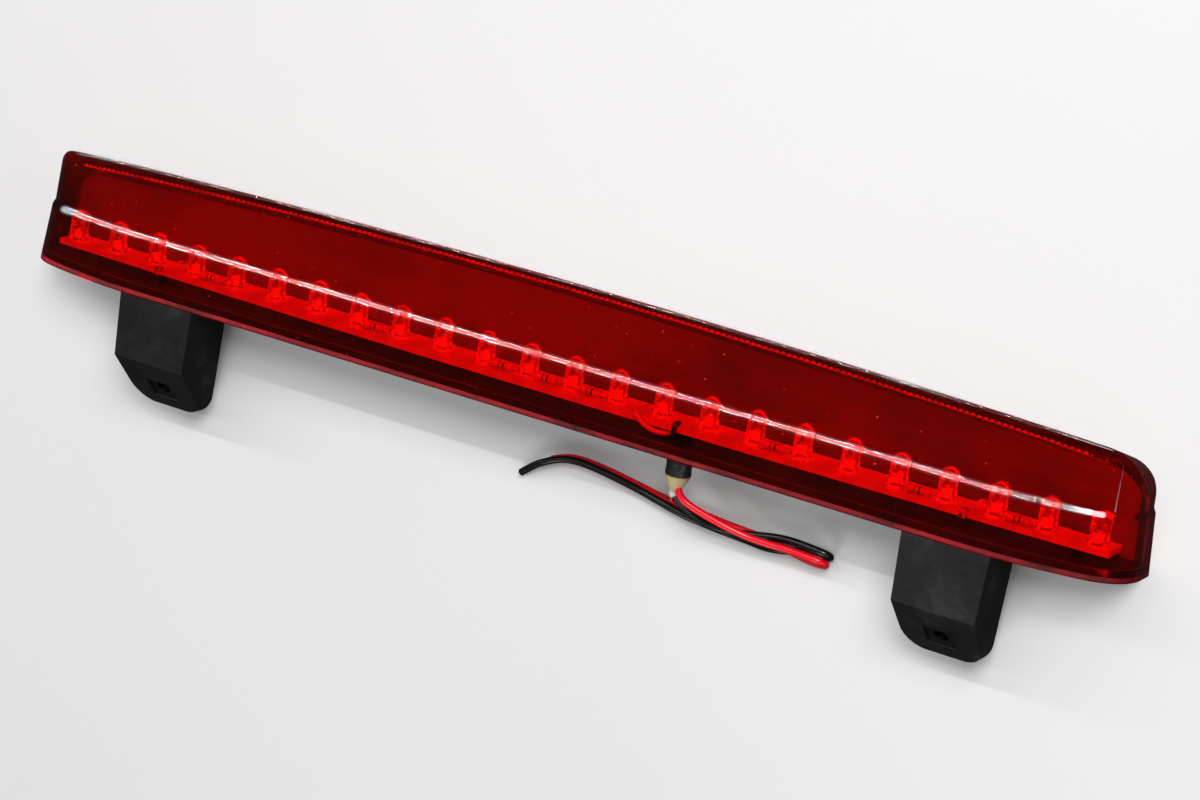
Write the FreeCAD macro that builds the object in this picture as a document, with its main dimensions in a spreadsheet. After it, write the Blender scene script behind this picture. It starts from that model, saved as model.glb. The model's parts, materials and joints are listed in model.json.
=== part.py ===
"""Third brake light: a red lens tub closed by a black housing with two mounting feet, and a row of LEDs inside.

Frame, in millimetres: X runs along the lamp, the light leaves toward -Y, the feet point toward +Y, and Z is up.
The lamp lies on its plain back wall at Z = 0. "Depth" below is the distance from the lens rim toward the emitting
face, so a point at depth d has Y = rim_y - d, and the feet have negative depths.
"""
import FreeCAD, Part
import Sketcher
import math
import os

from FreeCAD import Placement, Rotation, Vector

# name, value and meaning of every driving dimension
SIZES = [
    ("rim_y", 1.9, "Y of the lens rim"),
    ("half_length", 167.2, "half of the lens length, at the rim"),
    ("thickness", 26.0, "lens thickness, at the rim"),
    ("lens_height", 37.1, "rim to the crown of the emitting face"),
    ("straight_half", 123.2, "half of the straight stretch of the front wall"),
    ("lead_in_radius", 119.0, "gentle curve toward each end"),
    ("corner_radius", 14.1, "front corners in plan"),
    ("back_radius", 2.0, "back corners in plan, outside"),
    ("back_radius_in", 1.0, "back corners in plan, inside"),
    ("ridge_low", 15.8, "depth where the ridge starts"),
    ("ridge_high", 17.1, "depth where the ridge ends"),
    ("inset_low", 1.5, "draft of the lower wall, at ridge_low"),
    ("inset_ridge", 2.2, "draft and step, at ridge_high"),
    ("inset_top", 3.3, "draft at the top section"),
    ("top_section", 40.0, "depth of the top section"),
    ("crown_drop", 3.1, "fall of the emitting face toward its ends"),
    ("crown_half", 164.93, "half width of the crowned profile, outside"),
    ("crown_corner", 9.0, "rounding of the emitting face at its ends"),
    ("slant", 0.3, "fall of the emitting face toward the back wall, per mm"),
    ("wall_low", 2.6, "inset of the cavity at the ledge"),
    ("wall_top", 5.9, "inset of the cavity at the top section"),
    ("back_wall", 2.4, "thickness of the back wall"),
    ("cavity_height", 35.1, "rim to the crown of the cavity, at the front wall level"),
    ("cavity_drop", 4.5, "fall of the cavity toward its ends"),
    ("cavity_half", 163.1, "half width of the crowned profile, inside"),
    ("cavity_corner", 7.0, "rounding of the cavity at its ends"),
    ("ledge_depth", 3.0, "depth of the ledge that the housing meets"),
    ("ledge_inset", 1.8, "inset of the pocket below the ledge"),
    ("plate_inset", 1.9, "inset of the housing plate"),
    ("plate_depth", 0.8, "depth of the outer face of the plate"),
    ("bead_inset", 2.9, "inner inset of the sealing bead"),
    ("bead_depth", 0.1, "depth of the outer face of the bead"),
    ("row_x", -1.5, "centre of the LED row and of the feet"),
    ("row_z", 13.0, "height of the LED row"),
    ("led_pitch", 13.48, "LED spacing"),
    ("led_count", 24, "LEDs in the row"),
    ("board_depth", 5.6, "depth of the board underside"),
    ("board_thick", 1.6, "board thickness"),
    ("board_half", 159.0, "half of the board length"),
    ("board_half_width", 6.6, "half of the board width in the middle"),
    ("board_end_width", 9.4, "board width at its ends"),
    ("rail_wide", 1.6, "width of the rails under the board"),
    ("led_radius", 2.5, "LED body radius"),
    ("led_flange", 2.9, "LED flange radius"),
    ("led_height", 8.6, "LED height from its base"),
    ("led_standoff", 0.4, "gap between the board and the LED base"),
    ("led_flange_thick", 1.0, "LED flange thickness"),
    ("led_pin", 0.5, "LED lead, square"),
    ("led_pin_gap", 1.27, "LED lead distance from the axis"),
    ("led_pin_long", 2.9, "LED lead length below its base"),
    ("foot_span", 120.2, "distance of each foot from the row centre"),
    ("foot_half_top", 12.1, "half of the foot width at the plate"),
    ("foot_half_low", 11.15, "half of the foot width near its end"),
    ("foot_drop", 33.3, "rim to the end of the feet"),
    ("foot_corner", 6.0, "rounded corners of the foot end"),
    ("foot_front", 23.0, "Z of the front face of the feet"),
    ("foot_back", 5.6, "Z of the back face of the feet"),
    ("facet_start", 18.8, "rim to the crease of the 45 degree pad"),
    ("foot_land", 8.5, "Z where the pad ends"),
    ("nut_y", 27.4, "rim to the nut, on the pad face"),
    ("nut_size", 8.0, "square nut across flats"),
    ("nut_thick", 2.7, "square nut thickness"),
    ("nut_recess", 0.8, "nut below the pad face"),
    ("nut_bore", 2.1, "radius of the M5 thread core"),
    ("nut_room", 0.1, "room around the nut"),
    ("bolt_radius", 2.7, "bolt room behind the nut"),
    ("bolt_room", 8.0, "depth of the bolt room behind the nut"),
    ("boot_x", -42.2, "X of the lead boot"),
    ("boot_radius", 3.5, "lead boot radius"),
    ("boot_neck", 2.6, "radius of the boot neck in the plate"),
    ("boot_long", 7.2, "rim to the end of the boot"),
    ("seal_long", 2.8, "length of the sealant cone"),
    ("seal_tip", 2.2, "radius of the sealant cone at its tip"),
    ("lead_radius", 1.0, "radius of each free lead"),
    ("pigtail_radius", 0.7, "radius of each lead inside the lamp"),
]

EXTRA = 1.0            # how far a cutting tool runs past the face that it opens
RAIL_END = 150.0       # where the rails stop short of the board ends
RAIL_GAP = 5.2         # half of the gap that the leads need in the front rail
RAIL_EDGE = 0.4        # rails stay this far inside the board edge
HOOK_HALF = 0.9        # half width of a board hook
HOOK_THICK = 1.2
HOOK_LIP = 0.8         # how far a hook reaches over the board
HOOK_HIGH = 0.7        # height of the hook lip
HOOK_SPAN = 122.7      # distance of the hooks from HOOK_CENTRE
HOOK_CENTRE = -0.4
PIN_HOLE = 0.45        # holes in the board
RESISTOR_SLOTS = (2, 4, 7, 11, 12, 13, 16, 20)   # each lies after the LED of that number
RESISTOR_Z = 2.6       # how far the resistors lie in front of the LED row
RESISTOR_LIFT = 1.25   # resistor axis above the board
RESISTOR_LEAD = 0.3    # radius of the straight resistor leads
RESISTOR_PIN = 0.25    # radius of the same leads where they go down through the board
RESISTOR_SPAN = 4.3    # half distance of the resistor holes
RESISTOR_END = 4.7     # half distance of the resistor lead bends
RESISTOR_TAIL = 4.8    # depth where the resistor leads end
RESISTOR_HALF = 3.1    # half length of the resistor body
RESISTOR_WAIST = 0.9   # body radius between its two bulges
RESISTOR_BULGE = 1.15  # body radius at its bulges
RESISTOR_CAP = 0.85    # body radius at its end faces
BULGE_LONG = 1.0       # length of each bulge
PIGTAIL_BELOW = 0.35   # gap between a pigtail and the board underside
PIGTAIL_ABOVE = 0.1    # gap between a pigtail and the board top
PIGTAIL_FRONT = 0.4    # gap between a pigtail and the front edge of the board
PIGTAIL_APART = 0.8    # each pigtail stands this far from the boot axis
PIGTAIL_START = 1.2    # how far in front of the LED row the pigtails leave the boot
FACET_REACH = 12.0     # the tool that cuts the 45 degree pads runs this far past them

doc = FreeCAD.newDocument("third_brake_light")
sheet = doc.addObject("Spreadsheet::Sheet", "sizes")
for row, (alias, value, meaning) in enumerate(SIZES, start=1):
    sheet.set("A%d" % row, meaning)
    sheet.set("B%d" % row, str(value))
    sheet.setAlias("B%d" % row, alias)
doc.recompute()
S = {alias: value for alias, value, meaning in SIZES}
NODES = []


def node(obj, name):
    """Mark a finished sub-part, which is exported under its label."""
    obj.Label = name
    NODES.append(obj)
    return obj


def bind(obj, **expressions):
    for prop, text in expressions.items():
        obj.setExpression(prop.replace("__", "."), text)
    return obj


# ---------------------------------------------------------------- sketch helpers

def origin_plane(body, role):
    return next(f for f in body.Origin.OriginFeatures if f.Role == role)


def body_sketch(body, name, role, offset=Placement()):
    sketch = body.newObject("Sketcher::SketchObject", name)
    sketch.AttachmentSupport = [(origin_plane(body, role), "")]
    sketch.MapMode = "FlatFace"
    sketch.AttachmentOffset = offset
    return sketch


def add_constraint(sketch, kind, *args, expression=None):
    index = sketch.addConstraint(Sketcher.Constraint(kind, *args))
    if expression is not None:
        sketch.setExpression("Constraints[%d]" % index, expression)
    return index


def arc(cx, cy, radius, start, end):
    circle = Part.Circle(Vector(cx, cy, 0), Vector(0, 0, 1), radius)
    return Part.ArcOfCircle(circle, start, end)


def segment(ax, ay, bx, by):
    return Part.LineSegment(Vector(ax, ay, 0), Vector(bx, by, 0))


def number(text):
    """Value of an expression over the sheet, for starting positions."""
    holder = doc.addObject("App::FeaturePython", "probe")
    holder.addProperty("App::PropertyFloat", "Value")
    holder.setExpression("Value", text)
    doc.recompute([holder])
    value = holder.Value
    doc.removeObject(holder.Name)
    return value


def draw_outline(sketch, inset, back, back_radius):
    """Plan of the lamp: straight front, gentle lead-ins, round front corners, tight back corners."""
    front_text = "sizes.thickness - (%s)" % inset
    end_text = "sizes.half_length - (%s)" % inset
    lead_text = "sizes.lead_in_radius - (%s)" % inset
    corner_text = "sizes.corner_radius - (%s)" % inset
    front = number(front_text)
    end = number(end_text)
    lead = number(lead_text)
    corner = number(corner_text)
    low = number(back)
    tight = number(back_radius)
    straight = S["straight_half"]
    turn = math.asin((end - corner - straight) / (lead - corner))
    right = math.pi / 2
    corner_x = end - corner
    corner_y = front - lead + (lead - corner) * math.cos(turn)
    g = [
        sketch.addGeometry(segment(-straight, front, straight, front), False),
        sketch.addGeometry(arc(straight, front - lead, lead, right - turn, right), False),
        sketch.addGeometry(arc(corner_x, corner_y, corner, 0, right - turn), False),
        sketch.addGeometry(segment(end, corner_y, end, low + tight), False),
        sketch.addGeometry(arc(end - tight, low + tight, tight, -right, 0), False),
        sketch.addGeometry(segment(end - tight, low, tight - end, low), False),
        sketch.addGeometry(arc(tight - end, low + tight, tight, 2 * right, 3 * right), False),
        sketch.addGeometry(segment(-end, low + tight, -end, corner_y), False),
        sketch.addGeometry(arc(-corner_x, corner_y, corner, right + turn, 2 * right), False),
        sketch.addGeometry(arc(-straight, front - lead, lead, right, right + turn), False),
    ]
    joints = [(0, 2, 1, 2), (1, 1, 2, 2), (2, 1, 3, 1), (3, 2, 4, 2), (4, 1, 5, 1),
              (5, 2, 6, 2), (6, 1, 7, 1), (7, 2, 8, 2), (8, 1, 9, 2), (9, 1, 0, 1)]
    for first, first_end, second, second_end in joints:
        add_constraint(sketch, "Tangent", g[first], first_end, g[second], second_end)
    add_constraint(sketch, "Horizontal", g[0])
    add_constraint(sketch, "Horizontal", g[5])
    add_constraint(sketch, "Vertical", g[3])
    add_constraint(sketch, "Vertical", g[7])
    for curve in (1, 9):
        add_constraint(sketch, "Radius", g[curve], lead, expression=lead_text)
    for curve in (2, 8):
        add_constraint(sketch, "Radius", g[curve], corner, expression=corner_text)
    for curve in (4, 6):
        add_constraint(sketch, "Radius", g[curve], tight, expression=back_radius)
    add_constraint(sketch, "DistanceY", -1, 1, g[0], 1, front, expression=front_text)
    add_constraint(sketch, "DistanceY", -1, 1, g[5], 1, low, expression=back)
    add_constraint(sketch, "DistanceX", -1, 1, g[0], 2, straight, expression="sizes.straight_half")
    add_constraint(sketch, "DistanceX", g[0], 1, -1, 1, straight, expression="sizes.straight_half")
    add_constraint(sketch, "DistanceX", -1, 1, g[3], 1, end, expression=end_text)
    add_constraint(sketch, "DistanceX", g[7], 1, -1, 1, end, expression=end_text)
    return sketch


def free_outline(name, inset, depth, back, back_radius):
    """The plan outline as a sketch of its own, facing -Y at the depth given."""
    sketch = doc.addObject("Sketcher::SketchObject", name)
    level = number("sizes.rim_y - (%s)" % depth)
    sketch.Placement = Placement(Vector(0, level, 0), Rotation(Vector(1, 0, 0), 90))
    sketch.setExpression("Placement.Base.y", "sizes.rim_y - (%s)" % depth)
    draw_outline(sketch, inset, back, back_radius)
    return sketch


def draw_crown(name, height, drop, half, corner):
    """Region below a crowned line with round ends, in the XY plane; the crown points toward -Y.

    Below the round ends the region steps out past the walls, so that it trims nothing there.
    """
    sketch = doc.addObject("Sketcher::SketchObject", name)
    apex = number("sizes.rim_y - (%s)" % height)
    sag = number(drop)
    wide = number(half)
    tight = number(corner)
    clear = number("sizes.half_length + %s" % EXTRA)
    big = (wide ** 2 + sag ** 2) / (2 * sag)
    base = S["rim_y"] + 2 * S["foot_drop"]
    centre_y = apex + big
    tip = math.asin((wide - tight) / (big - tight))
    round_x = wide - tight
    round_y = centre_y - (big - tight) * math.cos(tip)
    down = 3 * math.pi / 2
    g = [
        sketch.addGeometry(segment(-clear, base, clear, base), False),
        sketch.addGeometry(segment(clear, base, clear, round_y), False),
        sketch.addGeometry(segment(clear, round_y, wide, round_y), False),
        sketch.addGeometry(arc(round_x, round_y, tight, down + tip, 2 * math.pi), False),
        sketch.addGeometry(arc(0, centre_y, big, down - tip, down + tip), False),
        sketch.addGeometry(arc(-round_x, round_y, tight, math.pi, down - tip), False),
        sketch.addGeometry(segment(-wide, round_y, -clear, round_y), False),
        sketch.addGeometry(segment(-clear, round_y, -clear, base), False),
    ]
    add_constraint(sketch, "Coincident", g[0], 2, g[1], 1)
    add_constraint(sketch, "Coincident", g[1], 2, g[2], 1)
    add_constraint(sketch, "Coincident", g[2], 2, g[3], 2)
    add_constraint(sketch, "Tangent", g[3], 1, g[4], 2)
    add_constraint(sketch, "Tangent", g[4], 1, g[5], 2)
    add_constraint(sketch, "Coincident", g[5], 1, g[6], 1)
    add_constraint(sketch, "Coincident", g[6], 2, g[7], 1)
    add_constraint(sketch, "Coincident", g[7], 2, g[0], 1)
    for line in (0, 2, 6):
        add_constraint(sketch, "Horizontal", g[line])
    add_constraint(sketch, "Vertical", g[1])
    add_constraint(sketch, "Vertical", g[7])
    add_constraint(sketch, "PointOnObject", g[4], 3, -2)
    for curve in (3, 5):
        add_constraint(sketch, "Radius", g[curve], tight, expression=corner)
    radius_text = "((%s)^2 + (%s)^2) / (2 * (%s))" % (half, drop, drop)
    add_constraint(sketch, "Radius", g[4], big, expression=radius_text)
    centre_text = "sizes.rim_y - (%s) + %s" % (height, radius_text)
    add_constraint(sketch, "DistanceY", -1, 1, g[4], 3, centre_y, expression=centre_text)
    add_constraint(sketch, "DistanceY", -1, 1, g[0], 1, base, expression="sizes.rim_y + 2 * sizes.foot_drop")
    add_constraint(sketch, "DistanceX", -1, 1, g[1], 1, clear, expression="sizes.half_length + %s" % EXTRA)
    add_constraint(sketch, "DistanceX", -1, 1, g[2], 2, wide, expression=half)
    add_constraint(sketch, "DistanceX", g[6], 1, -1, 1, wide, expression=half)
    return sketch


def circle_at(sketch, x_text, y_text, radius_text):
    """A full circle whose centre and radius follow the sheet."""
    x = number(x_text)
    y = number(y_text)
    radius = number(radius_text)
    g = sketch.addGeometry(Part.Circle(Vector(x, y, 0), Vector(0, 0, 1), radius), False)
    add_constraint(sketch, "Radius", g, radius, expression=radius_text)
    place_point(sketch, g, 3, x_text, y_text)
    return g


def place_point(sketch, g, vertex, x_text, y_text):
    """Tie a point to the origin in X and Y; a distance is given from the lower to the higher side."""
    for kind, text in (("DistanceX", x_text), ("DistanceY", y_text)):
        value = number(text)
        if abs(value) < 1e-9:
            axis = -2 if kind == "DistanceX" else -1
            add_constraint(sketch, "PointOnObject", g, vertex, axis)
        elif value > 0:
            add_constraint(sketch, kind, -1, 1, g, vertex, value, expression=text)
        else:
            add_constraint(sketch, kind, g, vertex, -1, 1, -value, expression="-(%s)" % text)


def polygon(sketch, corners):
    """A closed polygon; each corner is a pair of expressions."""
    points = [(number(x), number(y)) for x, y in corners]
    count = len(points)
    g = []
    for i, (x, y) in enumerate(points):
        nx, ny = points[(i + 1) % count]
        g.append(sketch.addGeometry(segment(x, y, nx, ny), False))
    for i in range(count):
        add_constraint(sketch, "Coincident", g[i], 2, g[(i + 1) % count], 1)
    for i, (x_text, y_text) in enumerate(corners):
        place_point(sketch, g[i], 1, x_text, y_text)
    return g


def rectangle(sketch, left, right, low, high):
    return polygon(sketch, [(left, low), (right, low), (right, high), (left, high)])


def pad(body, name, sketch, length, reverse=False, symmetric=False):
    feature = body.newObject("PartDesign::Pad", name)
    feature.Profile = sketch
    feature.setExpression("Length", length)
    feature.Reversed = reverse
    feature.Midplane = symmetric
    return feature


def pocket(body, name, sketch, length, reverse=False, symmetric=False):
    feature = body.newObject("PartDesign::Pocket", name)
    feature.Profile = sketch
    feature.setExpression("Length", length)
    feature.Reversed = reverse
    feature.Midplane = symmetric
    return feature


def checked_cut(body, feature):
    """Recompute, and stop if the cut took nothing away."""
    before = feature.BaseFeature.Shape.Volume
    doc.recompute()
    if feature.Shape.Volume > before - 1e-6:
        raise RuntimeError("%s cuts nothing" % feature.Name)
    body.Tip = feature
    return feature


def turned(vector, axis, degrees):
    return Placement(vector, Rotation(axis, degrees))


# ---------------------------------------------------------------- lens

def make_lens():
    outer_sections = [
        free_outline("lens_rim", "0", "0", "0", "sizes.back_radius"),
        free_outline("lens_under_ridge", "sizes.inset_low", "sizes.ridge_low", "0", "sizes.back_radius"),
        free_outline("lens_over_ridge", "sizes.inset_ridge", "sizes.ridge_high", "0", "sizes.back_radius"),
        free_outline("lens_top", "sizes.inset_top", "sizes.top_section", "0", "sizes.back_radius"),
    ]
    inner_sections = [
        free_outline("cavity_low", "sizes.wall_low", "sizes.ledge_depth",
                     "sizes.back_wall", "sizes.back_radius_in"),
        free_outline("cavity_top", "sizes.wall_top", "sizes.top_section",
                     "sizes.back_wall", "sizes.back_radius_in"),
    ]
    shells = []
    for name, sections in (("lens_walls", outer_sections), ("cavity_walls", inner_sections)):
        loft = doc.addObject("Part::Loft", name)
        loft.Sections = sections
        loft.Solid = True
        loft.Ruled = True
        shells.append(loft)
    crowns = []
    rows = (
        ("lens_crown", "sizes.lens_height", "sizes.crown_drop", "sizes.crown_half", "sizes.crown_corner",
         "sizes.thickness - sizes.inset_top"),
        ("cavity_crown", "sizes.cavity_height", "sizes.cavity_drop", "sizes.cavity_half", "sizes.cavity_corner",
         "sizes.thickness - sizes.inset_top"),
    )
    for name, height, drop, half, corner, level in rows:
        profile = draw_crown(name + "_profile", height, drop, half, corner)
        profile.setExpression("Placement.Base.z", level)
        prism = doc.addObject("Part::Extrusion", name)
        prism.Base = profile
        prism.DirMode = "Custom"
        prism.Dir = Vector(0, -S["slant"], 1)
        prism.setExpression("Dir.y", "-sizes.slant")
        prism.Symmetric = True
        prism.Solid = True
        prism.setExpression("LengthFwd", "4 * sizes.thickness")
        crowns.append(prism)
    outside = doc.addObject("Part::Common", "lens_outside")
    outside.Base, outside.Tool = shells[0], crowns[0]
    cavity = doc.addObject("Part::Common", "lens_cavity")
    cavity.Base, cavity.Tool = shells[1], crowns[1]
    mouth = doc.addObject("Part::Extrusion", "lens_mouth")
    mouth.Base = free_outline("mouth_plan", "sizes.ledge_inset", "-%s" % EXTRA, "sizes.ledge_inset",
                              "sizes.back_radius_in")
    mouth.DirMode = "Normal"
    mouth.Solid = True
    mouth.setExpression("LengthFwd", "sizes.ledge_depth + %s" % EXTRA)
    hollow = doc.addObject("Part::Fuse", "lens_hollow")
    hollow.Base, hollow.Tool = cavity, mouth
    lens = doc.addObject("Part::Cut", "lens")
    lens.Base, lens.Tool = outside, hollow
    return node(lens, "lens")


def make_bead():
    """Bead of sealant in the corner between the housing plate and the lens rim."""
    rings = []
    for name, inset in (("bead_outside", "sizes.ledge_inset"), ("bead_inside", "sizes.bead_inset")):
        solid = doc.addObject("Part::Extrusion", name)
        solid.Base = free_outline(name + "_plan", inset, "sizes.bead_depth", inset, "sizes.back_radius_in")
        solid.DirMode = "Normal"
        solid.Solid = True
        solid.setExpression("LengthFwd", "sizes.plate_depth - sizes.bead_depth")
        rings.append(solid)
    bead = doc.addObject("Part::Cut", "lens_seal_bead")
    bead.Base, bead.Tool = rings
    return node(bead, "lens_seal_bead")


# ---------------------------------------------------------------- housing

def rail_sketch(body, name):
    """Two straight-sided rails: the back one is whole, the front one has a gap for the leads."""
    sketch = body_sketch(body, name, "XZ_Plane")
    sketch.setExpression("AttachmentOffset.Base.z", "-(sizes.rim_y - sizes.ledge_depth)")
    middle = "sizes.row_z"
    back_low = "%s - sizes.board_half_width + %s" % (middle, RAIL_EDGE)
    back_high = "%s + sizes.rail_wide" % back_low
    rectangle(sketch, "sizes.row_x - %s" % RAIL_END, "sizes.row_x + %s" % RAIL_END, back_low, back_high)
    edge = "%s + sizes.board_half_width - %s" % (middle, RAIL_EDGE)
    slope = "(2 * sizes.board_half_width - sizes.board_end_width) / sizes.board_half ^ 2"

    def edge_at(x_text, inside):
        return "%s - %s * (%s - sizes.row_x)^2 - %s" % (edge, slope, x_text, inside)

    spans = [
        ("sizes.row_x - %s" % RAIL_END, "sizes.row_x - %s" % (RAIL_END / 2)),
        ("sizes.row_x - %s" % (RAIL_END / 2), "sizes.boot_x - %s" % RAIL_GAP),
        ("sizes.boot_x + %s" % RAIL_GAP, "sizes.row_x + %s" % (RAIL_END / 2)),
        ("sizes.row_x + %s" % (RAIL_END / 2), "sizes.row_x + %s" % RAIL_END),
    ]
    chains = [[spans[0][0], spans[0][1], spans[1][1]], [spans[2][0], "sizes.row_x", spans[2][1], spans[3][1]]]
    for chain in chains:
        top = [(x, edge_at(x, "0")) for x in chain]
        low = [(x, edge_at(x, "sizes.rail_wide")) for x in reversed(chain)]
        polygon(sketch, top + low)
    return sketch


def foot_profile(sketch, centre):
    """One foot seen along Z: drafted sides and two round corners at its end."""
    x = number(centre)
    top_text = "sizes.rim_y - sizes.plate_depth - 0.7"
    low_text = "sizes.rim_y + sizes.foot_drop"
    top = number(top_text)
    low = number(low_text)
    wide = S["foot_half_top"]
    slim = S["foot_half_low"]
    r = S["foot_corner"]
    quarter = math.pi / 2
    g = [
        sketch.addGeometry(segment(x - wide, top, x + wide, top), False),
        sketch.addGeometry(segment(x + wide, top, x + slim, low - r), False),
        sketch.addGeometry(arc(x + slim - r, low - r, r, 0, quarter), False),
        sketch.addGeometry(segment(x + slim - r, low, x - slim + r, low), False),
        sketch.addGeometry(arc(x - slim + r, low - r, r, quarter, 2 * quarter), False),
        sketch.addGeometry(segment(x - slim, low - r, x - wide, top), False),
    ]
    add_constraint(sketch, "Coincident", g[0], 2, g[1], 1)
    add_constraint(sketch, "Tangent", g[1], 2, g[2], 1)
    add_constraint(sketch, "Tangent", g[2], 2, g[3], 1)
    add_constraint(sketch, "Tangent", g[3], 2, g[4], 1)
    add_constraint(sketch, "Tangent", g[4], 2, g[5], 1)
    add_constraint(sketch, "Coincident", g[5], 2, g[0], 1)
    add_constraint(sketch, "Horizontal", g[3])
    for curve in (2, 4):
        add_constraint(sketch, "Radius", g[curve], r, expression="sizes.foot_corner")
    place_point(sketch, g[0], 1, "%s - sizes.foot_half_top" % centre, top_text)
    place_point(sketch, g[0], 2, "%s + sizes.foot_half_top" % centre, top_text)
    add_constraint(sketch, "DistanceY", -1, 1, g[3], 1, low, expression=low_text)
    for line, vertex, side in ((1, 2, "+"), (5, 1, "-")):
        text = "%s %s sizes.foot_half_low" % (centre, side)
        value = number(text)
        if value > 0:
            add_constraint(sketch, "DistanceX", -1, 1, g[line], vertex, value, expression=text)
        else:
            add_constraint(sketch, "DistanceX", g[line], vertex, -1, 1, -value, expression="-(%s)" % text)


def make_housing():
    body = doc.addObject("PartDesign::Body", "housing")
    plate = body_sketch(body, "plate_plan", "XZ_Plane")
    plate.setExpression("AttachmentOffset.Base.z", "-(sizes.rim_y - sizes.plate_depth)")
    draw_outline(plate, "sizes.plate_inset", "sizes.plate_inset", "sizes.back_radius_in")
    pad(body, "plate", plate, "sizes.ledge_depth - sizes.plate_depth")
    pad(body, "rails", rail_sketch(body, "rail_plan"), "sizes.board_depth - sizes.ledge_depth")

    hooks = body_sketch(body, "hook_posts", "XZ_Plane")
    hooks.setExpression("AttachmentOffset.Base.z", "-(sizes.rim_y - sizes.ledge_depth)")
    lips = body_sketch(body, "hook_lips", "XZ_Plane")
    lips.setExpression("AttachmentOffset.Base.z", "-(sizes.rim_y - sizes.board_depth - sizes.board_thick)")
    slope = "(2 * sizes.board_half_width - sizes.board_end_width) * (%s / sizes.board_half) ^ 2" % HOOK_SPAN
    front_edge = "sizes.row_z + sizes.board_half_width - %s + 0.1" % slope
    back_edge = "sizes.row_z - sizes.board_half_width - 0.1"
    for side in ("-", "+"):
        left = "%s %s %s - %s" % (HOOK_CENTRE, side, HOOK_SPAN, HOOK_HALF)
        right = "%s %s %s + %s" % (HOOK_CENTRE, side, HOOK_SPAN, HOOK_HALF)
        rectangle(hooks, left, right, front_edge, "%s + %s" % (front_edge, HOOK_THICK))
        rectangle(hooks, left, right, "%s - %s" % (back_edge, HOOK_THICK), back_edge)
        rectangle(lips, left, right, "%s - %s" % (front_edge, HOOK_LIP), "%s + %s" % (front_edge, HOOK_THICK))
        rectangle(lips, left, right, "%s - %s" % (back_edge, HOOK_THICK), "%s + %s" % (back_edge, HOOK_LIP))
    post_height = "sizes.board_depth + sizes.board_thick - sizes.ledge_depth + %s" % HOOK_HIGH
    pad(body, "hooks", hooks, post_height)
    pad(body, "hook_tips", lips, "%s" % HOOK_HIGH)

    feet = body_sketch(body, "feet_profile", "XY_Plane")
    feet.setExpression("AttachmentOffset.Base.z", "sizes.foot_back")
    for side in ("-", "+"):
        foot_profile(feet, "sizes.row_x %s sizes.foot_span" % side)
    pad(body, "feet", feet, "sizes.foot_front - sizes.foot_back")
    doc.recompute()

    facet = body_sketch(body, "facet_profile", "YZ_Plane")
    crease = "sizes.rim_y + sizes.facet_start"
    fall = "(sizes.foot_front - sizes.foot_land)"
    polygon(facet, [
        (crease + " - %s" % EXTRA, "sizes.foot_front + %s" % EXTRA),
        ("%s + %s + %s" % (crease, fall, EXTRA), "sizes.foot_land - %s" % EXTRA),
        ("%s + %s + %s" % (crease, fall, FACET_REACH), "sizes.foot_land - %s" % EXTRA),
        ("%s + %s + %s" % (crease, fall, FACET_REACH), "sizes.foot_front + %s" % EXTRA),
    ])
    checked_cut(body, pocket(body, "facets", facet, "2 * sizes.half_length", symmetric=True))

    window_place = turned(Vector(0, S["rim_y"] + S["nut_y"], 0), Vector(1, 0, 0), -45)
    level = "sizes.foot_front - (sizes.nut_y - sizes.facet_start)"
    for name, shape in (("nut_pockets", "square"), ("bolt_rooms", "round")):
        window = body_sketch(body, name + "_plan", "XY_Plane", window_place)
        window.setExpression("AttachmentOffset.Base.y", "sizes.rim_y + sizes.nut_y")
        window.setExpression("AttachmentOffset.Base.z", level)
        for side in ("-", "+"):
            centre = "sizes.row_x %s sizes.foot_span" % side
            half = "(sizes.nut_size / 2 + sizes.nut_room)"
            if shape == "square":
                rectangle(window, "%s - %s" % (centre, half), "%s + %s" % (centre, half), "-%s" % half, half)
            else:
                circle_at(window, centre, "0", "sizes.bolt_radius")
        deep = "sizes.nut_recess + sizes.nut_thick"
        if shape == "round":
            deep += " + sizes.bolt_room"
        checked_cut(body, pocket(body, name, window, deep))

    hole = body_sketch(body, "lead_hole_plan", "XZ_Plane")
    circle_at(hole, "sizes.boot_x", "sizes.row_z", "sizes.boot_neck")
    checked_cut(body, pocket(body, "lead_hole", hole, "6 * sizes.ledge_depth", symmetric=True))
    return node(body, "housing")


def make_nuts():
    """The two square nuts, each on the axis of its 45 degree pad."""
    solids = []
    for index, side in enumerate(("-", "+")):
        block = doc.addObject("Part::Box", "nut_block_%d" % index)
        bind(block, Length="sizes.nut_size", Width="sizes.nut_size", Height="sizes.nut_thick")
        block.Placement = Placement(Vector(-S["nut_size"] / 2, -S["nut_size"] / 2, 0), Rotation())
        thread = doc.addObject("Part::Cylinder", "nut_bore_%d" % index)
        bind(thread, Radius="sizes.nut_bore", Height="sizes.nut_thick + 2")
        thread.Placement = Placement(Vector(0, 0, -EXTRA), Rotation())
        nut = doc.addObject("Part::Cut", "nut_%d" % index)
        nut.Base, nut.Tool = block, thread
        down = S["nut_recess"] + S["nut_thick"]
        face_z = S["foot_front"] - (S["nut_y"] - S["facet_start"])
        share = math.sqrt(0.5)
        sign = -1 if side == "-" else 1
        nut.Placement = turned(
            Vector(S["row_x"] + sign * S["foot_span"],
                   S["rim_y"] + S["nut_y"] - down * share, face_z - down * share),
            Vector(1, 0, 0), -45)
        solids.append(nut)
    group = doc.addObject("Part::Compound", "mounting_nuts")
    group.Links = solids
    return node(group, "mounting_nuts")


# ---------------------------------------------------------------- board and its parts

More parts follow.
